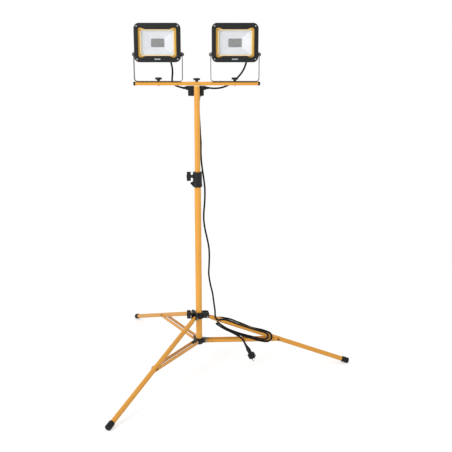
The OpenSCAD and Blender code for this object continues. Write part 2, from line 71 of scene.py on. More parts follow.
FRONT = R("X", 90)            # plate's XY becomes XZ, and its +Z looks to the front (-Y)
ALONG_X = R("Y", 90)          # lathe's +Z becomes +X
ALONG_Y = R("X", -90)         # lathe's +Z becomes +Y

# ------------------------------------------------------------------ materials
def lin(c):
    return tuple((v / 12.92 if v <= 0.04045 else ((v + 0.055) / 1.055) ** 2.4) for v in [x / 255.0 for x in c])

class Mat:
    def __init__(self, name):
        self.m = bpy.data.materials.new(name)
        self.m.use_nodes = True
        self.nt = self.m.node_tree
        self.nt.nodes.clear()
        self.out = self.nt.nodes.new("ShaderNodeOutputMaterial")
        self.b = self.nt.nodes.new("ShaderNodeBsdfPrincipled")
        self.nt.links.new(self.b.outputs[0], self.out.inputs[0])
        self.tc = self.nt.nodes.new("ShaderNodeTexCoord")
    def node(self, kind, **props):
        n = self.nt.nodes.new(kind)
        for k, v in props.items():
            setattr(n, k, v)
        return n
    def link(self, a, b): self.nt.links.new(a, b)
    def coords(self, scale=(1, 1, 1), rot=(0, 0, 0)):
        mp = self.node("ShaderNodeMapping")
        mp.inputs["Scale"].default_value = scale
        mp.inputs["Rotation"].default_value = rot
        self.link(self.tc.outputs["Object"], mp.inputs["Vector"])
        return mp.outputs[0]
    def noise(self, scale, detail=3.0, rough=0.55, vec=None, distort=0.0):
        n = self.node("ShaderNodeTexNoise")
        n.inputs["Scale"].default_value = scale
        n.inputs["Detail"].default_value = detail
        n.inputs["Roughness"].default_value = rough
        n.inputs["Distortion"].default_value = distort
        self.link(vec if vec is not None else self.coords(), n.inputs["Vector"])
        return n.outputs["Fac"]
    def ramp(self, fac, stops, interp="LINEAR"):
        r = self.node("ShaderNodeValToRGB")
        r.color_ramp.interpolation = interp
        els = r.color_ramp.elements
        while len(els) < len(stops):
            els.new(0.5)
        for e, (p, c) in zip(els, stops):
            e.position = p
            e.color = (c[0], c[1], c[2], 1) if hasattr(c, "__len__") else (c, c, c, 1)
        self.link(fac, r.inputs[0])
        return r.outputs[0]
    def mix(self, fac, a, b, blend="MIX"):
        n = self.node("ShaderNodeMix", data_type="RGBA", blend_type=blend)
        if isinstance(fac, (int, float)): n.inputs[0].default_value = fac
        else: self.link(fac, n.inputs[0])
        for k, v in ((6, a), (7, b)):
            if hasattr(v, "__len__"): n.inputs[k].default_value = (v[0], v[1], v[2], 1)
            else: self.link(v, n.inputs[k])
        return n.outputs[2]
    def rng(self, val, lo, hi, a=0.3, b=0.7):
        n = self.node("ShaderNodeMapRange")
        n.inputs["From Min"].default_value = a; n.inputs["From Max"].default_value = b
        n.inputs["To Min"].default_value = lo; n.inputs["To Max"].default_value = hi
        self.link(val, n.inputs["Value"])
        return n.outputs[0]
    def bump(self, height, strength, dist, normal=None):
        n = self.node("ShaderNodeBump")
        n.inputs["Strength"].default_value = strength
        n.inputs["Distance"].default_value = dist
        self.link(height, n.inputs["Height"])
        if normal is not None: self.link(normal, n.inputs["Normal"])
        return n.outputs[0]
    def set(self, **kw):
        for k, v in kw.items():
            s = self.b.inputs[k.replace("_", " ")]
            if isinstance(v, bpy.types.NodeSocket): self.link(v, s)
            elif hasattr(v, "__len__") and len(v) == 3: s.default_value = (v[0], v[1], v[2], 1)
            else: s.default_value = v
        return self.m

def tone(c, k): return tuple(min(1.0, v * k) for v in c)

def paint(name, srgb, rough=0.34, var=0.05, peel=0.22, coat=0.25, scuff=None, metal=0.0, spec=0.5, scratch=None):
    """powder coat: slight colour drift, orange peel, a few faint scuffs"""
    c = lin(srgb)
    m = Mat(name)
    big = m.noise(9.0, 3.0)
    col = m.ramp(big, [(0.3, tone(c, 1 - var)), (0.52, c), (0.75, tone(c, 1 + var * 0.7))])
    fine = m.noise(420.0, 2.0)
    col = m.mix(m.rng(fine, 0.0, 0.10, 0.45, 0.75), col, tone(c, 0.8))
    sc = scuff if scuff is not None else tone(c, 0.55)
    marks = m.noise(60.0, 6.0, 0.7, distort=0.6)
    col = m.mix(m.rng(marks, 0.0, 0.16, 0.66, 0.74), col, sc)
    nrm_in = None
    if scratch is not None:
        lines = m.noise(55.0, 5.0, 0.75, vec=m.coords(scale=scratch))
        f = m.rng(lines, 0.0, 0.14, 0.62, 0.70)
        col = m.mix(f, col, tone(c, 0.62))
        nrm_in = m.bump(lines, 0.05, 0.0004)
    rv = m.noise(34.0, 4.0)
    m.set(Base_Color=col, Roughness=m.rng(rv, rough - 0.06, rough + 0.09), Metallic=metal)
    m.b.inputs["Coat Weight"].default_value = coat
    m.b.inputs["Coat Roughness"].default_value = 0.2
    m.b.inputs["Specular IOR Level"].default_value = spec
    pl = m.noise(620.0, 2.0, 0.5)
    m.set(Normal=m.bump(pl, peel, 0.00035, nrm_in))
    return m.m

def plastic(name, srgb, rough=0.5, grain=0.35, gscale=1500.0, var=0.12, dust=0.08, spec=0.45):
    """moulded plastic: spark-eroded grain, slightly uneven gloss, a little dust"""
    c = lin(srgb)
    m = Mat(name)
    big = m.noise(22.0, 4.0)
    col = m.ramp(big, [(0.28, tone(c, 1 - var)), (0.5, c), (0.78, tone(c, 1 + var))])
    d = m.noise(130.0, 5.0, 0.7)
    col = m.mix(m.rng(d, 0.0, dust, 0.5, 0.8), col, lin((150, 146, 138)))
    v = m.node("ShaderNodeTexVoronoi")
    v.inputs["Scale"].default_value = gscale
    m.link(m.coords(), v.inputs["Vector"])
    rv = m.noise(70.0, 3.0)
    m.set(Base_Color=col, Roughness=m.rng(rv, rough - 0.08, rough + 0.1))
    m.b.inputs["Specular IOR Level"].default_value = spec
    n2 = m.noise(gscale * 0.6, 2.0)
    m.set(Normal=m.bump(n2, grain * 0.6, 0.00016, m.bump(v.outputs["Distance"], grain, 0.00012)))
    return m.m

def metal(name, srgb, rough=0.3, stretch=(1, 1, 14), scale=90.0, var=0.16, bump=0.12):
    """plated or brushed steel: directional streaks, blotchy gloss"""
    c = lin(srgb)
    m = Mat(name)
    st = m.noise(scale, 4.0, 0.6, vec=m.coords(scale=stretch))
    bl = m.noise(48.0, 3.0)
    col = m.ramp(st, [(0.3, tone(c, 1 - var)), (0.7, tone(c, 1 + var * 0.5))])
    col = m.mix(m.rng(bl, 0.0, 0.25, 0.5, 0.75), col, tone(c, 0.72))
    m.set(Base_Color=col, Metallic=1.0, Roughness=m.rng(bl, rough - 0.07, rough + 0.14))
    m.set(Normal=m.bump(st, bump, 0.0002))
    return m.m

def rubber(name, srgb, rough=0.62, scale=800.0, grain=0.3, dust=0.14, spec=0.3):
    c = lin(srgb)
    m = Mat(name)
    big = m.noise(30.0, 5.0, 0.65)
    col = m.ramp(big, [(0.3, tone(c, 0.8)), (0.55, c), (0.8, tone(c, 1.25))])
    d = m.noise(210.0, 6.0, 0.75)
    col = m.mix(m.rng(d, 0.0, dust, 0.48, 0.8), col, lin((142, 138, 130)))
    m.set(Base_Color=col, Roughness=m.rng(big, rough - 0.08, rough + 0.1))
    m.b.inputs["Specular IOR Level"].default_value = spec
    g = m.noise(scale, 3.0, 0.6)
    m.set(Normal=m.bump(g, grain, 0.0002))
    return m.m

YELLOW = paint("yellow_paint", (213, 149, 51), rough=0.36, peel=0.16, coat=0.2, spec=0.4, scratch=(9, 9, 0.35))
# painted shade: the legs carry a darker copy of the same yellow paint, standing in for the shade that falls on them
YELLOW_LEG_PAINTED_SHADE = paint("yellow_paint_legs_painted_shade", (197, 137, 46), rough=0.38, peel=0.16, coat=0.12, spec=0.32, scratch=(9, 9, 0.35))
BLACK = plastic("black_moulding", (15, 16, 18), rough=0.4, dust=0.02, spec=0.3, grain=0.25)
DARKPL = plastic("black_moulding_deep", (11, 11, 12), rough=0.5, dust=0.015, spec=0.25)
CHAR = paint("charcoal_coat", (17, 17, 18), rough=0.4, var=0.10, peel=0.35, coat=0.0, spec=0.3, scuff=lin((44, 44, 46)))
AMBER = paint("amber_trim", (190, 147, 46), rough=0.36, peel=0.12, coat=0.15)
GREY = paint("bracket_steel", (46, 47, 50), rough=0.4, peel=0.2, coat=0.05, spec=0.4, scuff=lin((100, 100, 104)), metal=0.1)
ZINC = metal("zinc_steel", (196, 197, 196), rough=0.3)
ZINCDULL = metal("zinc_dulled", (150, 151, 150), rough=0.42)
# painted shade: the brace bars carry a darker copy of the same yellow paint, standing in for the shade that falls on
# them
YELLOW_BAR_PAINTED_SHADE = paint("yellow_paint_bars_painted_shade", (188, 130, 43), rough=0.4, peel=0.16, coat=0.1, spec=0.3, scratch=(9, 9, 0.35))
NICKEL = metal("plug_pins", (128, 127, 124), rough=0.34, scale=140.0)
NYLON = plastic("nylon", (58, 58, 60), rough=0.4, gscale=900.0)
RUBBER = rubber("rubber", (9, 9, 10), dust=0.018)
CORD = rubber("cable_rubber", (5, 5, 6), rough=0.48, scale=600.0, grain=0.15, dust=0.012, spec=0.17)
DRIVER = metal("driver_case", (150, 150, 154), rough=0.4)

def white_reflector():
    m = Mat("white_reflector")
    c = lin((212, 213, 219))
    n = m.noise(14.0, 3.0)
    col = m.ramp(n, [(0.3, tone(c, 0.955)), (0.6, c), (0.8, tone(c, 1.0))])
    m.set(Base_Color=col, Roughness=m.rng(m.noise(60.0), 0.24, 0.36))
    m.b.inputs["Specular IOR Level"].default_value = 0.5
    m.set(Normal=m.bump(m.noise(240.0, 2.0), 0.1, 0.0003))
    return m.m
REFLECT = white_reflector()

# painted highlight: the amber trim's window bevel is coloured cream, standing in for the light caught along its edges
def amber_bevel_painted_highlight():
    m = Mat("amber_bevel_painted_highlight")
    c = lin((226, 204, 160))
    n = m.noise(26.0, 3.0)
    col = m.ramp(n, [(0.3, tone(c, 0.94)), (0.7, c)])
    m.set(Base_Color=col, Roughness=m.rng(m.noise(80.0), 0.3, 0.42))
    m.set(Normal=m.bump(m.noise(500.0, 2.0), 0.1, 0.0002))
    return m.m
BEVEL_PAINTED_HIGHLIGHT = amber_bevel_painted_highlight()

def board_white():
    m = Mat("led_board")
    c = lin((70, 70, 64))
    n = m.noise(60.0, 4.0)
    col = m.ramp(n, [(0.3, tone(c, 0.9)), (0.7, tone(c, 1.06))])
    m.set(Base_Color=col, Roughness=m.rng(m.noise(110.0), 0.35, 0.5))
    m.b.inputs["Specular IOR Level"].default_value = 0.2
    m.set(Normal=m.bump(m.noise(700.0), 0.15, 0.0002))
    return m.m
BOARD = board_white()

def phosphor():
    m = Mat("led_phosphor")
    c = lin((84, 84, 67))
    n = m.noise(900.0, 3.0)
    col = m.ramp(n, [(0.3, tone(c, 0.85)), (0.7, tone(c, 1.08))])
    m.set(Base_Color=col, Roughness=m.rng(n, 0.25, 0.4))
    m.b.inputs["Coat Weight"].default_value = 0.08
    m.b.inputs["Specular IOR Level"].default_value = 0.25
    m.set(Normal=m.bump(n, 0.2, 0.0001))
    return m.m
PHOSPHOR = phosphor()

def glass():
    m = Mat("clear_glass")
    c = lin((236, 242, 240))
    n = m.noise(5.0, 3.0)
    m.set(Base_Color=m.ramp(n, [(0.3, tone(c, 0.97)), (0.7, c)]), Roughness=m.rng(m.noise(24.0, 4.0), 0.03, 0.09))
    m.b.inputs["Alpha"].default_value = 0.12
    m.b.inputs["IOR"].default_value = 1.5
    m.b.inputs["Specular IOR Level"].default_value = 0.7
    m.set(Normal=m.bump(m.noise(3.0, 2.0), 0.02, 0.001))
    return m.m
GLASS = glass()

def rail():
    m = Mat("led_rail")
    c = lin((36, 36, 33))
    n = m.noise(300.0, 3.0)
    m.set(Base_Color=m.ramp(n, [(0.3, tone(c, 0.88)), (0.7, tone(c, 1.08))]), Roughness=m.rng(n, 0.35, 0.5))
    m.set(Normal=m.bump(n, 0.15, 0.0001))
    return m.m
LEDRAIL = rail()
AMBERSCREW = metal("trim_screws", (150, 118, 66), rough=0.35)
BLACKBOLT = metal("blackened_bolt", (54, 54, 56), rough=0.42)

SLOT = {m["slot"]: m for m in frame["record"]["materials"]}
SLOTMAT = {"yellow_paint": YELLOW, "black_moulding": BLACK, "nylon": NYLON, "rubber": RUBBER, "cable_rubber": CORD,
           "zinc_steel": ZINC, "bracket_steel": GREY, "charcoal_coat": CHAR, "amber_trim": AMBER, "clear_glass": GLASS,
           "white_reflector": REFLECT, "led_board": BOARD, "driver_case": DRIVER, "plug_pins": NICKEL}
for sp in frame["record"]["subparts"]:
    o = NODES[sp["node"]]
    o.data.materials.clear()
    o.data.materials.append(SLOTMAT[sp["material_slot"]])

# ------------------------------------------------------------------ 2-D outlines (counter-clockwise)
def arc(cx, cy, r, a0, a1, n):
    return [Vector((cx + r * math.cos(math.radians(a0 + (a1 - a0) * k / n)), cy + r * math.sin(math.radians(a0 + (a1 - a0) * k / n)))) for k in range(n + 1)]
def rrect(w, h, r, n=8, cx=0.0, cy=0.0):
    x, y = w / 2 - r, h / 2 - r
    return (arc(cx + x, cy - y, r, -90, 0, n) + arc(cx + x, cy + y, r, 0, 90, n) +
            arc(cx - x, cy + y, r, 90, 180, n) + arc(cx - x, cy - y, r, 180, 270, n))
def circle(r, n=32, cx=0.0, cy=0.0):
    return [Vector((cx + r * math.cos(2 * math.pi * k / n), cy + r * math.sin(2 * math.pi * k / n))) for k in range(n)]
def polyg(pts, r=0.0, n=4):
    """polygon with every corner rounded to r (or per-point radius as a third number)"""
    out, m = [], len(pts)
    for i in range(m):
        p0, p1, p2 = Vector(pts[i - 1][:2]), Vector(pts[i][:2]), Vector(pts[(i + 1) % m][:2])
        rr = pts[i][2] if len(pts[i]) > 2 else r
        a, b = (p0 - p1), (p2 - p1)
        la, lb = a.length, b.length
        a, b = a / la, b / lb
        cosang = max(-1.0, min(1.0, a.dot(b)))
        half = math.acos(cosang) / 2
        if rr <= 0 or abs(half - math.pi / 2) < 1e-3:
            out.append(p1); continue
        t = min(rr / math.tan(half), la * 0.49, lb * 0.49)
        rr = t * math.tan(half)
        c = p1 + (a + b).normalized() * (rr / math.sin(half))
        s, e = p1 + a * t - c, p1 + b * t - c
        a0 = math.atan2(s.y, s.x); a1 = math.atan2(e.y, e.x)
        d = (a1 - a0 + math.pi) % (2 * math.pi) - math.pi
        out += [c + Vector((math.cos(a0 + d * k / n), math.sin(a0 + d * k / n))) * rr for k in range(n + 1)]
    return out
def profile(pts, n=3):
    """open polyline (r, z[, fillet]) with its inner corners rounded"""
    out = [Vector(pts[0][:2])]
    for i in range(1, len(pts) - 1):
        p0, p1, p2 = Vector(pts[i - 1][:2]), Vector(pts[i][:2]), Vector(pts[i + 1][:2])
        rr = pts[i][2] if len(pts[i]) > 2 else 0
        a, b = p0 - p1, p2 - p1
        la, lb = a.length, b.length
        if rr <= 0 or la < 1e-6 or lb < 1e-6:
            out.append(p1); continue
        a, b = a / la, b / lb
        half = math.acos(max(-1.0, min(1.0, a.dot(b)))) / 2
        if abs(half - math.pi / 2) < 1e-3:
            out.append(p1); continue
        t = min(rr / math.tan(half), la * 0.49, lb * 0.49)
        rr = t * math.tan(half)
        c = p1 + (a + b).normalized() * (rr / math.sin(half))
        s, e = p1 + a * t - c, p1 + b * t - c
        a0, a1 = math.atan2(s.y, s.x), math.atan2(e.y, e.x)
        d = (a1 - a0 + math.pi) % (2 * math.pi) - math.pi
        out += [c + Vector((math.cos(a0 + d * k / n), math.sin(a0 + d * k / n))) * rr for k in range(n + 1)]
    out.append(Vector(pts[-1][:2]))
    return out
def inset(loop, d):
    out, n = [], len(loop)
    for i in range(n):
        p0, p1, p2 = loop[i - 1], loop[i], loop[(i + 1) % n]
        e1, e2 = (p1 - p0), (p2 - p1)
        if e1.length < 1e-9: e1 = e2
        if e2.length < 1e-9: e2 = e1
        e1, e2 = e1.normalized(), e2.normalized()
        n1, n2 = Vector((-e1.y, e1.x)), Vector((-e2.y, e2.x))
        m = n1 + n2
        m = n1 if m.length < 1e-6 else m.normalized()
        out.append(p1 + m * (d / max(m.dot(n1), 0.35)))
    return out

# ------------------------------------------------------------------ solids
def lathe(prof, seg=48, loop=False):
    bm = bmesh.new()
    rings = []
    if not loop and prof[0][0] > 1e-6 and math.hypot(prof[0][0] - prof[-1][0], prof[0][1] - prof[-1][1]) < 1e-4:
        prof, loop = prof[:-1], True       # a ring, closed on itself and open along its axis
    for p in prof:
        r, z = p[0], p[1]
        rings.append([bm.verts.new((0, 0, z))] if r < 1e-6 else
                     [bm.verts.new((r * math.cos(2 * math.pi * k / seg), r * math.sin(2 * math.pi * k / seg), z)) for k in range(seg)])
    for a, b in list(zip(rings, rings[1:])) + ([(rings[-1], rings[0])] if loop else []):
        for k in range(seg):
            j = (k + 1) % seg
            if len(a) == 1 and len(b) == 1: continue
            if len(a) == 1: bm.faces.new((a[0], b[j], b[k]))
            elif len(b) == 1: bm.faces.new((a[k], a[j], b[0]))
            else: bm.faces.new((a[k], a[j], b[j], b[k]))
    if not loop:
        if len(rings[0]) > 1: bm.faces.new(list(reversed(rings[0])))
        if len(rings[-1]) > 1: bm.faces.new(rings[-1])
    return bm
def skin(rings, cap0=True, cap1=True, wrap=False):
    bm = bmesh.new()
    vs = [[bm.verts.new(p) for p in r] for r in rings]
    n = len(rings[0])
    for a, b in list(zip(vs, vs[1:])) + ([(vs[-1], vs[0])] if wrap else []):
        for i in range(n):
            j = (i + 1) % n
            bm.faces.new((a[i], a[j], b[j], b[i]))
    if not wrap:
        if cap0: bm.faces.new(list(reversed(vs[0])))
        if cap1: bm.faces.new(vs[-1])
    return bm
def plate(outer, holes, z0, z1, bev=0.0, bev0=None, seg=2):
    """flat solid between z0 and z1 with rounded rims"""
    b1, b0 = bev, (bev if bev0 is None else bev0)
    bm = bmesh.new()
    def stack():
        st = []
        if b0 > 0:
            for k in range(seg + 1):
                a = math.pi / 2 * k / seg
                st.append((b0 * (1 - math.sin(a)), z0 + b0 * (1 - math.cos(a))))
        else: st.append((0.0, z0))
        if b1 > 0:
            for k in range(seg + 1):
                a = math.pi / 2 * k / seg
                st.append((b1 * (1 - math.cos(a)), z1 - b1 * (1 - math.sin(a))))
        else: st.append((0.0, z1))
        return st
    ends = {0: [], 1: []}
    for li, (loop, sign) in enumerate([(outer, 1)] + [(h, -1) for h in holes]):
        rings = []
        for d, z in stack():
            pts = inset(loop, d * sign) if d > 1e-9 else loop
            rings.append([bm.verts.new((p.x, p.y, z)) for p in pts])
        n = len(loop)
        for a, b in zip(rings, rings[1:]):
            for i in range(n):
                j = (i + 1) % n
                f = (a[i], a[j], b[j], b[i]) if sign > 0 else (a[j], a[i], b[i], b[j])
                bm.faces.new(f)
        ends[0].append(rings[0]); ends[1].append(rings[-1])
    for e in (0, 1):
        loops = ends[e]
        if len(loops) == 1:
            f = bm.faces.new(loops[0] if e else list(reversed(loops[0])))
        else:
            flat = [v for l in loops for v in l]
            tris = tessellate_polygon([[Vector((v.co.x, v.co.y, 0)) for v in l] for l in loops])
            for t in tris:
                try: bm.faces.new([flat[i] for i in t])
                except ValueError: pass
    return bm
def block(x0, x1, y0, y1, z0, z1):
    bm = bmesh.new()
    bmesh.ops.create_cube(bm, size=1.0)
    bmesh.ops.transform(bm, verts=bm.verts, matrix=T((x0 + x1) / 2, (y0 + y1) / 2, (z0 + z1) / 2) @ Matrix.Diagonal((x1 - x0, y1 - y0, z1 - z0, 1)))
    return bm
def sweep(path, rad, sides=16, caps=True):
    """tube along a list of points, carried without twist"""
    pts = [Vector(p) for p in path]
    n = len(pts)
    tan = [(pts[min(i + 1, n - 1)] - pts[max(i - 1, 0)]).normalized() for i in range(n)]
    up = tan[0].cross(Vector((1, 0, 0)) if abs(tan[0].x) < 0.8 else Vector((0, 1, 0))).normalized()
    rings = []
    for i in range(n):
        up = (up - tan[i] * up.dot(tan[i])).normalized()
        v = tan[i].cross(up)
        r = rad[i] if hasattr(rad, "__len__") else rad
        rings.append([pts[i] + (up * math.cos(2 * math.pi * k / sides) + v * math.sin(2 * math.pi * k / sides)) * r for k in range(sides)])
    return skin(rings, caps, caps)

class Piece:
    def __init__(self, name, body, at=MAST, slot=None, rep=()):
        self.name, self.body, self.at, self.slot, self.rep = name, body, at, slot, rep
        self.bm, self.mats = bmesh.new(), []
    def add(self, bm, mat, local=None, bevel=0.0, seg=2, angle=38):
        if bevel > 0:
            bmesh.ops.remove_doubles(bm, verts=bm.verts, dist=1e-4)
            edges = [e for e in bm.edges if len(e.link_faces) == 2 and e.calc_face_angle(0.0) > math.radians(angle)]
            bmesh.ops.bevel(bm, geom=edges, offset=bevel, segments=seg, profile=0.5, affect="EDGES", clamp_overlap=True)
        if local is not None:
            bmesh.ops.transform(bm, matrix=local, verts=bm.verts)
        bmesh.ops.recalc_face_normals(bm, faces=bm.faces)
        if mat not in self.mats: self.mats.append(mat)
        i = self.mats.index(mat)
        for f in bm.faces: f.material_index = i
        me = bpy.data.meshes.new("tmp")
        bm.to_mesh(me); bm.free()
        self.bm.from_mesh(me)
        bpy.data.meshes.remove(me)
        return self
    def done(self, smooth=40, weighted=True):
        bm = self.bm
        bmesh.ops.transform(bm, matrix=self.at, verts=bm.verts)
        me = bpy.data.meshes.new(self.name)
        bm.to_mesh(me); bm.free()
        for m in self.mats: me.materials.append(m)
        for p in me.polygons: p.use_smooth = True
        me.set_sharp_from_angle(angle=math.radians(smooth))
        o = bpy.data.objects.new(self.name, me)
        bpy.context.scene.collection.objects.link(o)
        if weighted:
            w = o.modifiers.new("weighted", "WEIGHTED_NORMAL")
            w.keep_sharp = True
        if self.body is not None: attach(o, self.body)
        if self.rep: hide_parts(*self.rep)
        return o

# ------------------------------------------------------------------ camera, light, floor
cam_data = bpy.data.cameras.new("camera")
cam_data.sensor_width = 36.0
cam_data.lens = 58.67
cam_data.clip_end = 100
cam = bpy.data.objects.new("camera", cam_data)
cam.location = (-0.0465, -3.616, 1.6582)
cam.rotation_euler = (math.pi / 2 - 0.244, 0, 0)
bpy.context.scene.collection.objects.link(cam)
bpy.context.scene.camera = cam

def area(name, loc, target, size, power, color=(1, 1, 1)):
    d = bpy.data.lights.new(name, "AREA")
    d.shape = "RECTANGLE"; d.size, d.size_y = size
    d.energy = power; d.color = color
    o = bpy.data.objects.new(name, d)
    o.location = loc
    o.rotation_euler = (Vector(target) - Vector(loc)).to_track_quat("-Z", "Y").to_euler()
    bpy.context.scene.collection.objects.link(o)
    return o
area("key", (-2.7, -3.1, 2.5), (-0.15, 0, 0.9), (1.2, 2.6), 84)
area("fill", (3.4, -2.6, 1.8), (0, 0, 0.9), (2.4, 2.4), 4)
area("top", (0.2, 0.4, 4.6), (0, 0, 0.8), (3.0, 3.0), 12)
area("rim", (1.2, 3.4, 2.4), (0, 0, 1.0), (3.0, 2.0), 12)

world = bpy.data.worlds.new("studio")
world.use_nodes = True
world.node_tree.nodes["Background"].inputs[0].default_value = (1, 1, 1, 1)
world.node_tree.nodes["Background"].inputs[1].default_value = 1.0
bpy.context.scene.world = world
bpy.context.scene.view_settings.view_transform = "Standard"
bpy.context.scene.view_settings.look = "None"

# pale floor that runs out into the white surround
fl = Mat("floor")
fl.set(Base_Color=fl.ramp(fl.noise(1.2, 3.0), [(0.3, (0.93, 0.93, 0.93)), (0.7, (0.95, 0.95, 0.95))]), Roughness=0.9)
fl.b.inputs["Specular IOR Level"].default_value = 0.15
em = fl.node("ShaderNodeEmission")
em.inputs["Color"].default_value = (1, 1, 1, 1)
em.inputs["Strength"].default_value = 1.0
ln = fl.node("ShaderNodeVectorMath", operation="LENGTH")
fl.link(fl.tc.outputs["Object"], ln.inputs[0])
mr = fl.node("ShaderNodeMapRange", interpolation_type="SMOOTHSTEP")
mr.inputs["From Min"].default_value = 1.1
mr.inputs["From Max"].default_value = 3.2
mr.inputs["To Min"].default_value = 0.5
fl.link(ln.outputs["Value"], mr.inputs["Value"])
mx = fl.node("ShaderNodeMixShader")
fl.link(mr.outputs[0], mx.inputs[0]); fl.link(fl.b.outputs[0], mx.inputs[1]); fl.link(em.outputs[0], mx.inputs[2])
fl.link(mx.outputs[0], fl.out.inputs[0])
bm = bmesh.new()
bmesh.ops.create_circle(bm, cap_ends=True, segments=96, radius=40)
me = bpy.data.meshes.new("floor"); bm.to_mesh(me); bm.free()
me.materials.append(fl.m)
floor = bpy.data.objects.new("floor", me)
floor.location = (0, 0, -0.0004)
bpy.context.scene.collection.objects.link(floor)

# ------------------------------------------------------------------ cords (millimetres, as in the part's source)
CORD_D = 9.0
hang = [(8, 38, 1378), (8, 38, 1350), (9, 37, 1310), (11.5, 36, 1264), (14, 35, 1215), (16.5, 34, 1175),
        (16, 32, 1130), (18, 30, 1086), (23, 28, 1041), (29, 26, 1000), (34, 25, 955), (35, 23, 915),
        (33, 21, 870), (29, 18, 820), (29, 15, 780), (35, 12, 735), (46, 8, 685), (54, 5, 640),
        (56, 2, 590), (54, -1, 540), (53, -4, 500), (60.5, -8, 450), (72, -11, 400), (77.5, -13, 358)]
wind = [(24, 15, 46), (30, 15.5, 30), (37, 15.5, 15), (44.5, 16.6, 5.3), (55, 17.3, 1.7), (65, 16.5, 5.6),
        (76, 13.9, 10.5), (89, 10.7, 13.7), (106, 9.6, 14.5), (130, 10.4, 14), (150, 11.7, 12.8),
        (170, 12.6, 12), (215, 12.6, 12), (255, 12.6, 12), (290, 11.4, 13.1), (312, 11.1, 13.4),
        (324, 13.3, 11.2), (332, 16.6, 5.3), (335, 18.5, -4.5), (332, 19.5, -13.5), (324.5, 20, -20.5),
        (312, 20, -24), (285, 18.6, -26.6), (258, 15.8, -28.8), (228, 12.5, -32), (190, 11.5, -33.8),
        (145, 11, -32.8), (118, 8, -31.2), (98, 2, -28.5), (82, -5.5, -25.8), (69, -11.5, -22.2),
        (58, -15.8, -17), (53.5, -18, -7.5), (57.5, -17.5, 2.5), (68, -15.5, 7.9), (80, -13, 11.6),
        (93, -9.5, 14.6), (107, -7.3, 18), (130, -6.5, 18.5), (150, -7, 16.5), (170, -9.3, 14.7),
        (205, -13.6, 10.8), (235, -15.8, 7.2), (262, -14.8, 9.1), (290, -10.4, 14), (313, -4.2, 16.9),
        (330, 0.5, 17.4), (341.5, 5.6, 16.5), (350.3, 14.1, 10.2), (354.8, 19.7, -4.5), (350, 19.4, -19),
        (339, 19.8, -28.5), (321, 20, -33.5), (290, 20.5, -36.5), (240, 21.5, -37), (190, 21.5, -38),
        (135, 20.5, -36), (98, 19.5, -31), (84, 19, -28.2), (71, 18, -25.8), (60.3, 13.6, -24.2),
        (55.8, 4, -24), (60, -5.5, -27), (70.5, -9.8, -33), (87, -6.8, -38.3), (116, 1.5, -41.8),
        (150, 8, -44), (178, 14, -47.5), (197, 19.5, -50.5), (212.5, 23.2, -57)]
lead_l = [(-126.5, 20, 1586), (-126, 20, 1574), (-123, 21, 1560), (-119, 23, 1540), (-118, 25, 1518), (-120, 28, 1497),
          (-121, 31, 1480), (-117, 34, 1465), (-107, 36, 1456), (-93, 38, 1450), (-76, 38, 1445), (-60, 38, 1443)]
lead_r = [(242.5, 20, 1586), (241.5, 20, 1574), (237, 21, 1558), (229, 23, 1536), (215, 26, 1513), (198, 30, 1493),
          (182, 33, 1477), (158, 36, 1460), (132, 38, 1448), (105, 38, 1442), (80, 38, 1441), (62, 38, 1442.5), (49, 38, 1443)]
def on_leg(q):
    d, t = math.radians(DIP), math.radians(LEG_TURN)
    x = HINGE_R + q[0] * math.cos(d) + q[2] * math.sin(d)
    return (x * math.cos(t) + q[1] * math.sin(t), x * math.sin(t) - q[1] * math.cos(t),
            HINGE_Z - q[0] * math.sin(d) + q[2] * math.cos(d))
def smooth(pts, n):
    """Catmull-Rom through the points, n steps to each stretch"""
    P = [Vector(p) for p in pts]
    P = [2 * P[0] - P[1]] + P + [2 * P[-1] - P[-2]]
    out = []
    for i in range(1, len(P) - 2):
        a, b, c, d = P[i - 1], P[i], P[i + 1], P[i + 2]
        for k in range(n):
            t = k / n
            out.append(0.5 * (2 * b + (c - a) * t + (2 * a - 5 * b + 4 * c - d) * t * t + (3 * b - a - 3 * c + d) * t ** 3))
    out.append(P[-2])
    return out

def cord_piece(name, pts, rep, a, b):
    """a stretch of cord between two bodies: attached to body a when b is None, otherwise baked in place"""
    pc = Piece(name, None, slot="cable_rubber")
    pc.add(sweep(pts, CORD_D / 2, 16), CORD)
    o = pc.done(weighted=False)
    if rep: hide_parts(*rep)
    if b is None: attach(o, a)
    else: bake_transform(o)
    return o

full = smooth(hang + [on_leg(q) for q in wind] + [PLUG_AT], 6)
# where the hanging part passes each height, so that each stretch spans one joint
i_static = min(range(len(full)), key=lambda i: abs(full[i].z - 627) if i < len(hang) * 6 else 1e9)
i_crown = min(range(len(full)), key=lambda i: abs(full[i].z - 345) if i < len(hang) * 6 + 6 else 1e9)
c_hang, c_drop, c_wind = full[:i_static + 1], full[i_static:i_crown + 1], full[i_crown:]

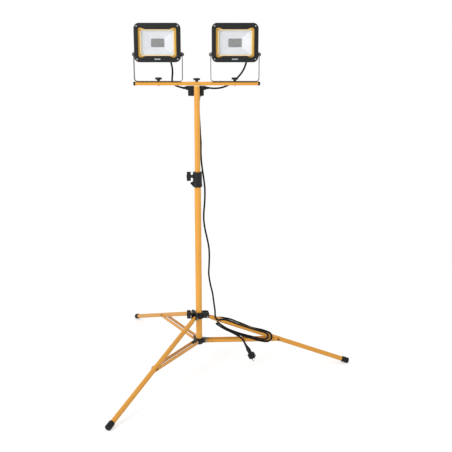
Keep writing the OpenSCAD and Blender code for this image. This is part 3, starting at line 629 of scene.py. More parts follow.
# ------------------------------------------------------------------ small parts used again and again
YZ = Matrix(((0, 0, 1, 0), (1, 0, 0, 0), (0, 1, 0, 0), (0, 0, 0, 1)))   # plate's X,Y,Z become Y,Z,X
XZ = FRONT
def hexring(r, n=24, turn=0.0):
    out = []
    for k in range(n):
        a = 2 * math.pi * k / n
        d = r * math.cos(math.pi / 6) / math.cos((a % (math.pi / 3)) - math.pi / 6)
        out.append((d * math.cos(a + turn), d * math.sin(a + turn)))
    return out
def screw_head(r, h, socket=0.45, n=24, turn=0.3):
    """pan head standing on z = 0 with a six-sided socket"""
    def ring(rr, z): return [(rr * math.cos(2 * math.pi * k / n + turn), rr * math.sin(2 * math.pi * k / n + turn), z) for k in range(n)]
    hx = hexring(r * socket, n, turn)
    hi = hexring(r * socket * 0.9, n, turn)
    rings = [ring(r * 0.98, 0), ring(r, h * 0.25), ring(r * 0.97, h * 0.6), ring(r * 0.86, h * 0.9), ring(r * 0.72, h),
             [(x * 1.08, y * 1.08, h) for x, y in hx], [(x, y, h * 0.94) for x, y in hx], [(x, y, h * 0.3) for x, y in hi]]
    return skin(rings)
def rivet_head(r, h, seg=28):
    return lathe(profile([(0, 0), (r * 0.96, 0), (r, h * 0.2, 0.2), (r * 0.9, h * 0.7, r * 0.3), (r * 0.5, h, r * 0.4), (0, h)], 4), seg)
def hexagon(r): return [Vector((r * math.cos(math.radians(60 * k)), r * math.sin(math.radians(60 * k)))) for k in range(6)]
def thread(r, z0, z1, pitch=1.5, depth=0.45):
    """bolt shank with ridges"""
    pts, z = [(0, z0), (r - depth * 1.6, z0)], z0 + 0.8
    while z < z1 - pitch:
        pts += [(r, z + pitch * 0.5), (r - depth, z + pitch)]
        z += pitch
    return lathe(pts + [(r, z1), (0, z1)], 24)

# ------------------------------------------------------------------ plug on its cable
p = Piece("supply_plug", "leg_b", AT_PLUG, "rubber", ["plug"])
neck = [(0, -0.6), (5.2, -0.6), (5.5, 0.2)]
for k in range(5):
    z = 1.4 + k * 3.9
    r = 5.6 + 0.8 * z / 21
    neck += [(r, z, 0.4), (r + 0.2, z + 2.1, 0.4), (r - 1.0, z + 2.6, 0.3), (r - 0.95, z + 3.6, 0.3)]
neck += [(6.2, 20.9, 0.2), (7.2, 21.4, 0.6), (8.4, 28, 2), (9.9, 36, 3), (11.6, 43.6, 2), (12.0, 45.8, 0.8), (11.6, 47.2, 0.6),
         (10.0, 48.0, 0.6), (9.8, 57, 3), (10.2, 65.5, 1.5), (11.6, 67.6, 1.0), (18.2, 68.2, 0.6), (19.0, 69.2, 0.5), (19.0, 70.0, 0.4), (18.5, 70.6, 0.3), (18.5, 72.2, 0.3), (19.0, 72.8, 0.4), (19.0, 90.4, 1.4), (17.4, 92, 0.5),
         (16.6, 92, 0.2), (16.3, 91.1, 0.2), (15.4, 91.1, 0.2), (15.1, 92, 0.2), (0, 92)]
p.add(lathe(profile(neck, 3), 64), RUBBER)
for k in range(28):                       # grip ribs on the drum, clear of the earth contacts
    a = 360.0 * (k + 0.5) / 28
    if min(abs((a - c + 180) % 360 - 180) for c in (0, 180)) < 17: continue
    p.add(plate(rrect(15.0, 1.5, 0.7, 3), [], 18.6, 19.5, 0.35), RUBBER, R("Z", a) @ T(0, 0, 81.5) @ R("Y", 90))
for k in range(10):                       # finger flats along the body
    a = 36.0 * k + 18
    p.add(plate(rrect(14, 2.2, 1.0, 3), [], 9.0, 10.5, 0.5), RUBBER, R("Z", a) @ T(0, 0, 57) @ R("Y", 90))
for s in (0, 180):
    p.add(plate(rrect(23, 8.6, 1.2, 3), [], 18.2, 19.35, 0.3), DARKPL, R("Z", s) @ T(0, 0, 80) @ R("Y", 90))
    p.add(plate(rrect(16, 4.4, 1.8, 4), [], 18.4, 19.75, 0.5), NICKEL, R("Z", s) @ T(0, 0, 82.5) @ R("Y", 90))
for s in (-1, 1):                          # raised seats of the pins
    p.add(lathe(profile([(0, 91.5), (4.6, 91.5), (4.4, 92.9, 0.5), (0, 92.9)]), 28), RUBBER, T(0, s * 9.5, 0))
plug_obj = p.done()
p = Piece("supply_plug_pins", "leg_b", AT_PLUG, "plug_pins", ["plug_pins"])
for s in (-1, 1):
    p.add(lathe(profile([(0, 84), (2.4, 84), (2.4, 96, 0.1), (2.3, 96.4), (2.4, 96.8), (2.4, 108.6, 0.4), (1.6, 109.9, 0.8), (0, 110)], 4), 28), NICKEL, T(0, s * 9.5, 0))
pins_obj = p.done()

# ------------------------------------------------------------------ the cords themselves
cord_piece("supply_cable_hang", c_hang, ["main_cable"], "upper_mast", "tripod")
cord_piece("supply_cable_drop", c_drop, [], "tripod", "crown")
cord_piece("supply_cable_wound", c_wind, [], "crown", "leg_b")
LEADS = {}
for side, s, pts in (("left", -1, lead_l), ("right", 1, lead_r)):
    f = smooth([(pts[0][0], pts[0][1], 1597)] + pts, 6)
    cut = min(range(len(f)), key=lambda i: abs(f[i].z - 1530))
    cord_piece(f"{side}_lead_top", f[:cut + 1], [f"lead_{side}"], f"head_{side}", f"bracket_{side}")
    cord_piece(f"{side}_lead_foot", f[cut:], [], f"bracket_{side}", "upper_mast")
    LEADS[side] = f

# ------------------------------------------------------------------ mast
def tube(name, body, at, ro, ri, z0, z1, mat, slot, rep, seg=72, bev=0.5, steps=1, extra=None):
    p = Piece(name, body, at, slot, rep)
    zs = [z0 + (z1 - z0) * k / steps for k in range(steps + 1)]
    outer = [(ri + bev, z0), (ro - bev, z0, 0), (ro, z0 + bev)] + [(ro, z) for z in zs[1:-1]] + [(ro, z1 - bev), (ro - bev, z1), (ri + bev, z1), (ri, z1 - bev), (ri, z0 + bev)]
    p.add(lathe([(a[0], a[1]) for a in outer], seg, loop=True), mat)
    if extra: extra(p)
    return p.done()

tube("mast_lower_tube", "tripod", MAST, 16.5, 14.8, 122, 1022, YELLOW, "yellow_paint", ["mast_lower"], steps=6)
tube("mast_upper_tube", "upper_mast", MAST, 14.0, 12.3, 640, 1450, YELLOW, "yellow_paint", ["mast_upper"], steps=6)
PALECAP = plastic("pale_cap", (222, 186, 118), rough=0.4, grain=0.2, dust=0.0, spec=0.35)
p = Piece("mast_saddle", "upper_mast", MAST, "yellow_paint", ["mast_cap"])
rings = []
for k in range(7):                       # sleeve that rises round the crossbar
    pass
seg = 64
def saddle_ring(r, z, dip):
    out = []
    for k in range(seg):
        a = 2 * math.pi * k / seg
        x, y = r * math.cos(a), r * math.sin(a)
        zz = z
        if dip: zz = BAR_Z - math.sqrt(max(9.0 ** 2 - y * y, 0)) if abs(y) < 9.0 else BAR_Z
        out.append((x, y, zz if not dip else min(zz, 1460.0)))
    return out
p.add(skin([saddle_ring(12.2, 1422, False), saddle_ring(12.2, 1450.5, False), saddle_ring(13.3, 1450.7, False), saddle_ring(13.9, 1451.3, False),
            saddle_ring(14.0, 1455.5, False), saddle_ring(14.0, 0, True), saddle_ring(13.0, 0, True)]), PALECAP)
p.done(smooth=50)

p = Piece("crossbar_tube", "upper_mast", MAST @ T(0, 0, BAR_Z) @ ALONG_X, "yellow_paint", ["crossbar"])
p.add(lathe([(7.9, -297), (8.5, -297), (9.0, -296.5), (9.0, -150), (9.0, 0), (9.0, 150), (9.0, 296.5), (8.5, 297), (7.9, 297), (7.4, 296.5), (7.4, -296.5)], 56, loop=True), YELLOW)
p.done()
p = Piece("crossbar_end_plugs", "upper_mast", MAST @ T(0, 0, BAR_Z), "black_moulding", ["crossbar_plugs"])
for s in (0, 180):
    p.add(lathe(profile([(0, 281), (7.0, 281), (7.35, 284), (7.35, 296.9), (9.3, 296.9, 0.3), (9.35, 303.5, 1.2), (8.2, 306.2, 2.2), (3.0, 307, 4), (0, 307)], 4), 48), BLACK, R("Z", s) @ ALONG_X)
    for k in range(6):
        p.add(plate(rrect(5.5, 1.1, 0.5, 3), [], 9.0, 9.75, 0.25), BLACK, R("Z", s) @ ALONG_X @ R("Z", 60 * k) @ T(0, 0, 300.4) @ R("Y", 90))
p.done()

# ------------------------------------------------------------------ clamp collar, knobs
def wing_knob(name, body, z, reach, stem_end, rep, bolt_from):
    """two-winged clamp screw: axis along -X"""
    p = Piece(name, body, MAST @ T(0, 0, z) @ R("Z", 180) @ ALONG_X, "black_moulding", rep)   # lathe +Z is now -X
    # in this frame X runs up or down the mast, Y across, Z outwards
    wing = polyg([(23, -4.6, 2.5), (23, 4.6, 2.5), (15, 5.4, 6), (9.2, 8.0, 7), (0, 9.0, 12), (-9.2, 8.0, 7), (-15, 5.4, 6), (-23, 4.6, 2.5),
                  (-23, -4.6, 2.5), (-15, -5.4, 6), (-9.2, -8.0, 7), (0, -9.0, 12), (9.2, -8.0, 7), (15, -5.4, 6)], 3, 5)
    p.add(plate(wing, [], reach, reach + 20, 1.8, 1.2, seg=3), BLACK)
    p.add(lathe(profile([(0, reach - 0.5), (8.6, reach - 0.5, 0.6), (9.6, reach + 1.5, 1), (9.6, reach + 19.5, 1.2), (8.4, reach + 21.3, 1.2), (6.2, reach + 21.4, 0.4), (5.8, reach + 20.6, 0.3), (0, reach + 20.6)], 4), 40), BLACK)
    for s in (-1, 1):                    # grip ridges on the wings
        for k in range(4):
            p.add(plate(rrect(1.3, 17.0, 0.6, 3), [], 4.3, 5.3, 0.35), BLACK, T(s * (13.2 + 2.6 * k), 0, reach + 10) @ R("X", -90) )
            p.add(plate(rrect(1.3, 17.0, 0.6, 3), [], 4.3, 5.3, 0.35), BLACK, T(s * (13.2 + 2.6 * k), 0, reach + 10) @ R("X", 90) )
    p.add(lathe(profile([(0, stem_end), (6.6, stem_end, 0.3), (7.0, stem_end + 0.6, 0.4), (7.0, reach + 1)], 3), 36), BLACK)
    p.add(thread(4.0, bolt_from, stem_end + 2), ZINC)
    return p.done()
wing_knob("collar_clamp_knob", "collar_knob", 1011, 34, 31.3, ["collar_knob"], 15.0)
wing_knob("crown_clamp_knob", "crown_knob", 280, 42.5, 39.3, ["hub_knob"], 17.0)

p = Piece("collar_body", "tripod", MAST, "black_moulding", ["clamp_collar"])
p.add(lathe(profile([(16.6, 957), (19.4, 957, 0.8), (22.6, 959.6, 1.6), (23.0, 962.5, 1.0), (23.0, 971.4, 0.8), (22.1, 972.6, 0.6), (21.9, 974.5, 0.4), (21.7, 1000), (21.9, 1025.6, 0.5), (22.3, 1027.8, 0.7),
                     (23.4, 1029.0, 0.9), (23.4, 1032.9, 1.0), (22.2, 1034, 0.6), (16.4, 1034, 0.8), (14.5, 1032.6, 0.5), (14.5, 1024.0), (16.6, 1022.5), (16.6, 957)], 4), 96), BLACK)
p.add(plate(polyg([(14, 957.4, 0), (20, 957.4, 0), (29, 966, 5), (33.5, 972, 3), (33.5, 980, 3), (27, 984, 4), (20, 986, 0), (14, 986, 0)], 0, 5), [], -4.6, 4.6, 1.2, seg=3), BLACK, R("Z", 180) @ FRONT)
p.add(lathe(profile([(0, 10), (9.6, 10), (9.6, 23.5, 1.5), (8.4, 25.5, 1.5), (8.0, 30.4, 0.5), (7.4, 31.0, 0.3), (4.3, 31.0), (4.2, 20), (0, 20)], 4), 40), BLACK, T(0, 0, 1011) @ R("Z", 180) @ ALONG_X)
p.add(plate(rrect(60, 17, 3, 4), [], 14, 23.4, 1.6), BLACK, T(0, 0, 1000) @ R("Z", 180) @ R("Y", 90))
p.add(lathe(profile([(0, 15), (6.6, 15), (6.6, 26.2, 0.8), (0, 26.2)], 4), 36), BLACK, T(0, 0, 976) @ R("Z", 180) @ ALONG_X)
p.add(lathe(profile([(0, 25.5), (5.0, 26.2), (5.0, 34.6, 1.2), (3.6, 36.0, 1.0), (0, 36.0)], 4), 32), DARKPL, T(0, 0, 976) @ R("Z", 180) @ ALONG_X)
for k in range(10):
    p.add(plate(rrect(7.5, 1.0, 0.45, 3), [], 4.8, 5.5, 0.25), DARKPL, T(0, 0, 976) @ R("Z", 180) @ ALONG_X @ R("Z", 36 * k) @ T(0, 0, 30.4) @ R("Y", 90))
p.done()

def top_knob(name, body, x, seat, low, rep):
    """T-shaped thumb screw on the crossbar"""
    p = Piece(name, body, MAST @ T(x, 0, 0), "black_moulding", rep)
    p.add(lathe(profile([(0, seat + 0.1), (5.6, seat + 0.1, 0.4), (6.2, seat + 1.2, 0.6), (8.6, seat + 6.8, 1.5), (9.0, seat + 8.2, 0.8), (9.0, seat + 15.6, 1.0), (8.0, seat + 16.9, 0.6), (5.4, seat + 17, 0.3), (5.0, seat + 16.3, 0.3), (0, seat + 16.3)], 4), 40), BLACK)
    wing = polyg([(16, -5.2, 3.6), (16, 5.2, 3.6), (9, 4.6, 8), (0, 7.4, 14), (-9, 4.6, 8), (-16, 5.2, 3.6), (-16, -5.2, 3.6), (-9, -4.6, 8), (0, -7.4, 14), (9, -4.6, 8)], 3, 6)
    p.add(plate(wing, [], seat + 6.4, seat + 16.6, 1.7, 1.7, seg=3), BLACK)
    for s in (-1, 1):
        for k in range(3):
            for f in (90, -90):
                p.add(plate(rrect(1.0, 7.2, 0.45, 3), [], 4.6, 5.35, 0.3), BLACK, T(s * (11.2 + 2.0 * k), 0, seat + 11.5) @ R("X", f))
    p.add(thread(4.0, low, seat + 1.5), ZINC)
    p.add(lathe([(0, low - 0.0), (2.6, low), (3.2, low + 0.6), (0, low + 0.7)], 24), ZINC)
    return p.done()
top_knob("crossbar_centre_knob", "centre_knob", 0, BAR_Z + 9.3, 1432.0, ["centre_knob"])
for side, s in (("left", -1), ("right", 1)):
    top_knob(f"{side}_bracket_knob", f"bracket_knob_{side}", s * LAMP_X, BAR_Z + 9 + 3.4, 1453.5, [f"bracket_knob_{side}"])

# ------------------------------------------------------------------ junction box
p = Piece("junction_box_base", "upper_mast", MAST, "black_moulding", ["box_base"])
tray = [rrect(71, 42, 3, 5), rrect(77, 48, 4.5, 5)]
def box_ring(w, h, r, y): return [(-5.5 + q.x, y, 1429 + q.y) for q in rrect(w, h, r, 6)]
p.add(skin([box_ring(69, 40, 2.5, 22), box_ring(71, 42, 3, 47.9), box_ring(77, 48, 4.5, 48.2), box_ring(77, 48, 4.5, 21), box_ring(76, 47, 4.2, 19.4), box_ring(73.4, 44.4, 3.2, 18.5)]), BLACK)
for x0, x1 in ((-50, -40), (29, 39)):    # blocks that carry the side glands
    p.add(plate(rrect(21.6, 19.6, 4, 5), [], x0, x1, 1.2), BLACK, YZ @ T(37, 1443, 0))
for z in (1414, 1429, 1444):             # saddle ribs against the mast
    p.add(plate(polyg([(-15, 0), (15, 0), (13.5, 8, 1.5), (-13.5, 8, 1.5)], 0), [], -2.2, 2.2, 0.5), BLACK, T(0, 19.3, z) @ R("Z", 180))
p.add(plate(rrect(24, 38, 3, 4), [], -19.5, -14.2, 0.8), BLACK, T(0, 0, 1429) @ FRONT)
for s in (-1, 1):                        # band that holds it to the mast
    p.add(plate(rrect(6, 3.6, 1.2, 3), [], 0, 9.0, 0.5), DARKPL, T(s * 14.2, 18, 1429) @ R("X", 90) @ R("Z", 90))
p.done()
p = Piece("junction_box_lid", "upper_mast", MAST @ T(-5.5, 0, 1429), "black_moulding", ["box_lid"])
BACK = R("X", -90)                       # plate's +Z looks to the back (+Y); its Y points down
p.add(plate(rrect(77, 48, 4.5, 6), [], 48.7, 53.0, 1.4, 0.3, seg=3), BLACK, BACK)
p.add(plate(rrect(52, 28, 4, 6), [], 52.5, 53.7, 0.7), BLACK, BACK)
p.add(plate(rrect(72, 43, 3, 4), [], 46.0, 49.0, 0.0), DARKPL, BACK)
for x in (-32, 32):
    for z in (-17.5, 17.5):
        p.add(screw_head(2.7, 1.5), ZINC, BACK @ T(x, z, 52.7))
p.done()

def gland(p, at, neck0, nut0, nut1, tip, r_nut, r0, r1, boot=None):
    """cable gland along +Z of at: threaded neck, six-sided nut, ribbed tapering sleeve"""
    p.add(thread(6.2, neck0, nut0 + 0.5, 1.4, 0.4), DARKPL, at)
    p.add(plate(polyg([(v.x, v.y, 1.0) for v in hexagon(r_nut)], 1.0, 3), [], nut0, nut1, 0.6), BLACK, at)
    pr = [(4.05, nut1 - 0.5), (r0, nut1 - 0.5)]
    n = max(3, int((tip - nut1) / 3.4))
    for k in range(n):
        za, zb = nut1 + (tip - nut1) * k / n, nut1 + (tip - nut1) * (k + 1) / n
        ra = r0 + (r1 - r0) * k / n
        rb = r0 + (r1 - r0) * (k + 0.62) / n
        pr += [(ra, za + 0.2, 0.3), (rb, za + (zb - za) * 0.66, 0.3), (rb - 0.75, za + (zb - za) * 0.74, 0.2), (rb - 0.75, zb - 0.1, 0.2)]
    pr += [(r1, tip - 0.3, 0.3), (4.3, tip), (4.05, tip - 0.6)]
    p.add(lathe(profile(pr, 3), 40, loop=False), RUBBER, at)
p = Piece("junction_box_glands", "upper_mast", MAST, "black_moulding", ["box_glands"])
gland(p, T(-5.5, 38, 1443) @ ALONG_X, 33, 43.5, 48.4, 66.5, 10.2, 7.6, 5.0)
gland(p, T(-5.5, 38, 1443) @ R("Z", 180) @ ALONG_X, 33, 43.5, 48.4, 66.5, 10.2, 7.6, 5.0)
gland(p, T(8, 38, 1405) @ R("X", 180), -4, 0.3, 4.9, 27, 10.2, 7.8, 5.3)
p.done()

# ------------------------------------------------------------------ crown (upper hub)
p = Piece("crown_body", "crown", MAST, "black_moulding", ["hub_upper"])
p.add(lathe(profile([(16.7, 261), (23.4, 261, 1.2), (25, 263.5, 1.2), (25, 291.4, 1.2), (23.2, 294, 1.2), (17.6, 294, 0.8), (16.7, 293), (16.7, 261)], 4), 96), BLACK)
for i in range(3):
    M = R("Z", AZ[i])
    cheek = polyg([(18, 264.5, 0), (46, 264.5, 3), (51.5, 266, 3), (54, 270, 4), (54, 282, 6), (49, 294, 7), (40, 297, 4), (18, 297, 0)], 0, 5)
    for s in (-1, 1):
        # outline in X,Z; thickness across
        p.add(plate(cheek, [circle(3.1, 24, HINGE_R, HINGE_Z)], 10.6, 15.6, 1.0, 0.6, seg=3), BLACK, M @ (Matrix.Identity(4) if s < 0 else Matrix.Scale(-1, 4, (0, 1, 0))) @ FRONT)
        p.add(plate(circle(7.2, 32, HINGE_R, HINGE_Z), [circle(3.1, 24, HINGE_R, HINGE_Z)], 15.3, 15.95, 0.3), BLACK, M @ (Matrix.Identity(4) if s < 0 else Matrix.Scale(-1, 4, (0, 1, 0))) @ FRONT)
    p.add(block(20, 33, -12, 12, 283, 292.4), BLACK, M, bevel=1.0)
    for z in (266, 276):                 # ribs between the arms
        pass
for k in range(3):                       # stiffening ribs on the barrel between the arms
    for d in (-16, 0, 16):
        a = AZ[k] + 60 + d
        if abs((a - 180 + 180) % 360 - 180) < 20: continue
        p.add(plate(rrect(24, 2.2, 1.0, 3), [], 24.4, 26.2, 0.5), BLACK, R("Z", a) @ T(0, 0, 277.5) @ R("Y", 90))
p.add(lathe(profile([(0, 18), (10.5, 18), (9.6, 27, 2), (8.2, 30, 1.5), (8.0, 38.4, 0.5), (7.4, 39.0, 0.3), (4.3, 39.0), (4.2, 30), (0, 30)], 4), 40), BLACK, T(0, 0, 280) @ R("Z", 180) @ ALONG_X)
p.done()
def pin_set(name, body, r_at, z_at, half, head0, head1, rep):
    p = Piece(name, body, MAST, "zinc_steel", rep)
    for i in range(3):
        M = R("Z", AZ[i]) @ T(r_at, 0, z_at)
        p.add(lathe([(0, -half), (3.0, -half), (3.0, half), (0, half)], 28), ZINC, M @ ALONG_Y)
        for s in (0, 180):
            p.add(rivet_head(5.0, head1 - head0), ZINCDULL, M @ R("Z", s) @ ALONG_Y @ T(0, 0, head0))
    return p.done()
pin_set("crown_hinge_pins", "crown", HINGE_R, HINGE_Z, 16, 15.9, 18.4, ["hub_pins"])

# ------------------------------------------------------------------ lower hub
p = Piece("base_hub", "tripod", MAST, "black_moulding", ["hub_lower"])
p.add(lathe(profile([(0, 118), (18.8, 118, 1.6), (21, 120.4, 1.4), (21, 148.4, 1.0), (19.6, 151, 1.0), (16.6, 151, 0.3), (16.6, 122), (0, 122)], 4), 96), BLACK)
for i in range(3):
    M = R("Z", AZ[i])
    arm = polyg([(14, 125, 0), (24, 125.2, 3), (33, 126, 5), (41, 126.2, 6), (50.4, 130.6, 6), (51, 139, 7), (46, 147, 6), (38, 148.4, 5), (24, 149, 5), (14, 149.2, 0)], 0, 5)
    p.add(plate(arm, [circle(3.1, 24, BRACE_R, BRACE_Z)], -12, 12, 1.3, 1.3, seg=3), BLACK, M @ FRONT)
    p.add(plate(circle(8.4, 36, BRACE_R, BRACE_Z), [circle(3.1, 24, BRACE_R, BRACE_Z)], -12.35, 12.35, 0.25), BLACK, M @ FRONT)
    for d in (-14, 14):
        p.add(plate(rrect(22, 2.2, 1.0, 3), [], 20.4, 22.0, 0.5), BLACK, R("Z", AZ[i] + 60 + d) @ T(0, 0, 135) @ R("Y", 90))
p.done()
pin_set("base_hub_rivets", "tripod", BRACE_R, BRACE_Z, 15, 14.8, 17.3, ["hub_lower_pins"])

# ------------------------------------------------------------------ legs, feet, brace bars
for i, k in enumerate("abc"):
    p = Piece(f"leg_{k}_tube", f"leg_{k}", ALONG_LEG(i), "yellow_paint", [f"leg_{k}"])
    L = LEG_LEN - 12
    # leg tube in the darker copy of the yellow paint: painted shade
    p.add(lathe([(a.x, a.y) for a in profile([(0, -9), (6.5, -9, 1.5), (10, -6.4, 3.0), (10, 14.5, 4), (12, 23.5, 4), (12, 60), (12, 200), (12, 380), (12, 560), (12, L - 0.5), (11.5, L), (10.6, L), (10.4, L - 0.4), (10.4, L - 60), (0, L - 60)], 4)], 56), YELLOW_LEG_PAINTED_SHADE, ALONG_X)
    # pressed saddle that carries the brace bars
    sad = polyg([(-10, -11.6, 0), (10, -11.6, 0), (10, 11.6, 0), (-10, 11.6, 0)], 2.0, 4)
    cradle = polyg([(11.7, -8.8, 2.4), (11.7, 7.0, 2.4), (-11.7, 7.0, 2.4), (-11.7, -8.8, 2.4), (-9.9, -8.8, 0.4), (-9.9, 2, 0.4), (-8, 10.9, 0.4)], 0.3, 4)
    outer = arc(0, 0, 12.35, 0, 180, 16) + [Vector((-12.35, -10.5)), Vector((-11.2, -10.5))] + list(reversed(arc(0, 0, 11.2, 0, 180, 16))) + [Vector((11.2, -10.5)), Vector((12.35, -10.5))]
    p.add(plate(outer, [], JOINT_S - 11, JOINT_S + 11, 0.4), YELLOW_LEG_PAINTED_SHADE, YZ)
    p.add(lathe(profile([(0, -12.3), (6.8, -12.3, 0.3), (6.8, 12.3, 0.3), (0, 12.3)], 2), 32), YELLOW_LEG_PAINTED_SHADE, T(JOINT_S, 0, 0) @ ALONG_Y)
    p.done()

    p = Piece(f"foot_{k}_cap", f"leg_{k}", ALONG_LEG(i), "rubber", [f"foot_{k}"])
    E = LEG_LEN
    prof = [(12.05, E - 39), (13.2, E - 39, 0.5), (14.4, E - 36.2, 1.0)]
    for j in range(4):
        z = E - 33.5 + j * 5.4
        prof += [(14.9, z, 0.5), (14.9, z + 3.6, 0.5), (14.1, z + 4.1, 0.3), (14.1, z + 4.9, 0.3)]
    prof += [(15.0, E - 11.5, 0.6), (15.0, E - 3.2, 2.6), (12.2, E - 0.1, 2.0), (0, E)]
    b = lathe(profile(prof, 4), 56)
    local = AT_LEG(i).inverted() @ ALONG_LEG(i) @ ALONG_X
    bmesh.ops.transform(b, matrix=local, verts=b.verts)
    g = bmesh.ops.bisect_plane(b, geom=b.verts[:] + b.edges[:] + b.faces[:], plane_co=(0, 0, 0.0), plane_no=(0, 0, -1), clear_outer=True)
    edges = [e for e in g["geom_cut"] if isinstance(e, bmesh.types.BMEdge)]
    if edges: bmesh.ops.contextual_create(b, geom=edges)
    p.at = AT_LEG(i)
    p.add(b, RUBBER)
    p.done()

    p = Piece(f"brace_{k}_bars", f"brace_{k}", AT_BRACE(i), "yellow_paint", [f"brace_{k}"])
    bar = arc(0, 0, 9.2, 90, 270, 16) + arc(BRACE_LEN, 0, 9.2, -90, 90, 16)
    for s in (-1, 1):
        flip = Matrix.Identity(4) if s < 0 else Matrix.Scale(-1, 4, (0, 1, 0))
        # bar plates in the darker copy of the yellow paint (painted shade); the rib below keeps the plain yellow
        p.add(plate(bar, [circle(3.05, 24)], 12.45, 14.45, 0.55), YELLOW_BAR_PAINTED_SHADE, flip @ FRONT)
        # pressed stiffening rib down the middle of the bar
        rib = arc(34, 0, 3.0, 90, 270, 8) + arc(BRACE_LEN - 34, 0, 3.0, -90, 90, 8)
        p.add(plate(rib, [], 14.1, 15.1, 0.7), YELLOW, flip @ FRONT)
        p.add(rivet_head(5.2, 2.5), BLACKBOLT, flip @ T(BRACE_LEN, 0, 0) @ FRONT @ T(0, 0, 14.4))
    p.done()

# ------------------------------------------------------------------ lamp heads
BADGE = metal("plain_badge", (176, 178, 182), rough=0.36)
def trim_loop(g=0.0, n=8):
    """wide opening with an ear at each corner that runs out in a long slope, counter-clockwise; g grows it"""
    a, b, ex, ez, er = 91.0 + g, 61.0 + g, 79.0, 57.0, 12.0 + g
    q1 = [Vector((a, ez - 16))] + arc(ex, ez, er, 0, 112, n * 2)
    last = q1[-1]
    end = Vector((54.0, b))
    for k in range(1, 9):                # smooth run from the ear to the straight edge
        t = k / 8
        u = t * t * (3 - 2 * t)
        q1.append(Vector((last.x + (end.x - last.x) * t, last.y + (end.y - last.y) * u)))
    q2 = [Vector((-v.x, v.y)) for v in reversed(q1)]
    q3 = [Vector((-v.x, -v.y)) for v in q1]
    q4 = [Vector((v.x, -v.y)) for v in reversed(q1)]
    return q1 + q2 + q3 + q4

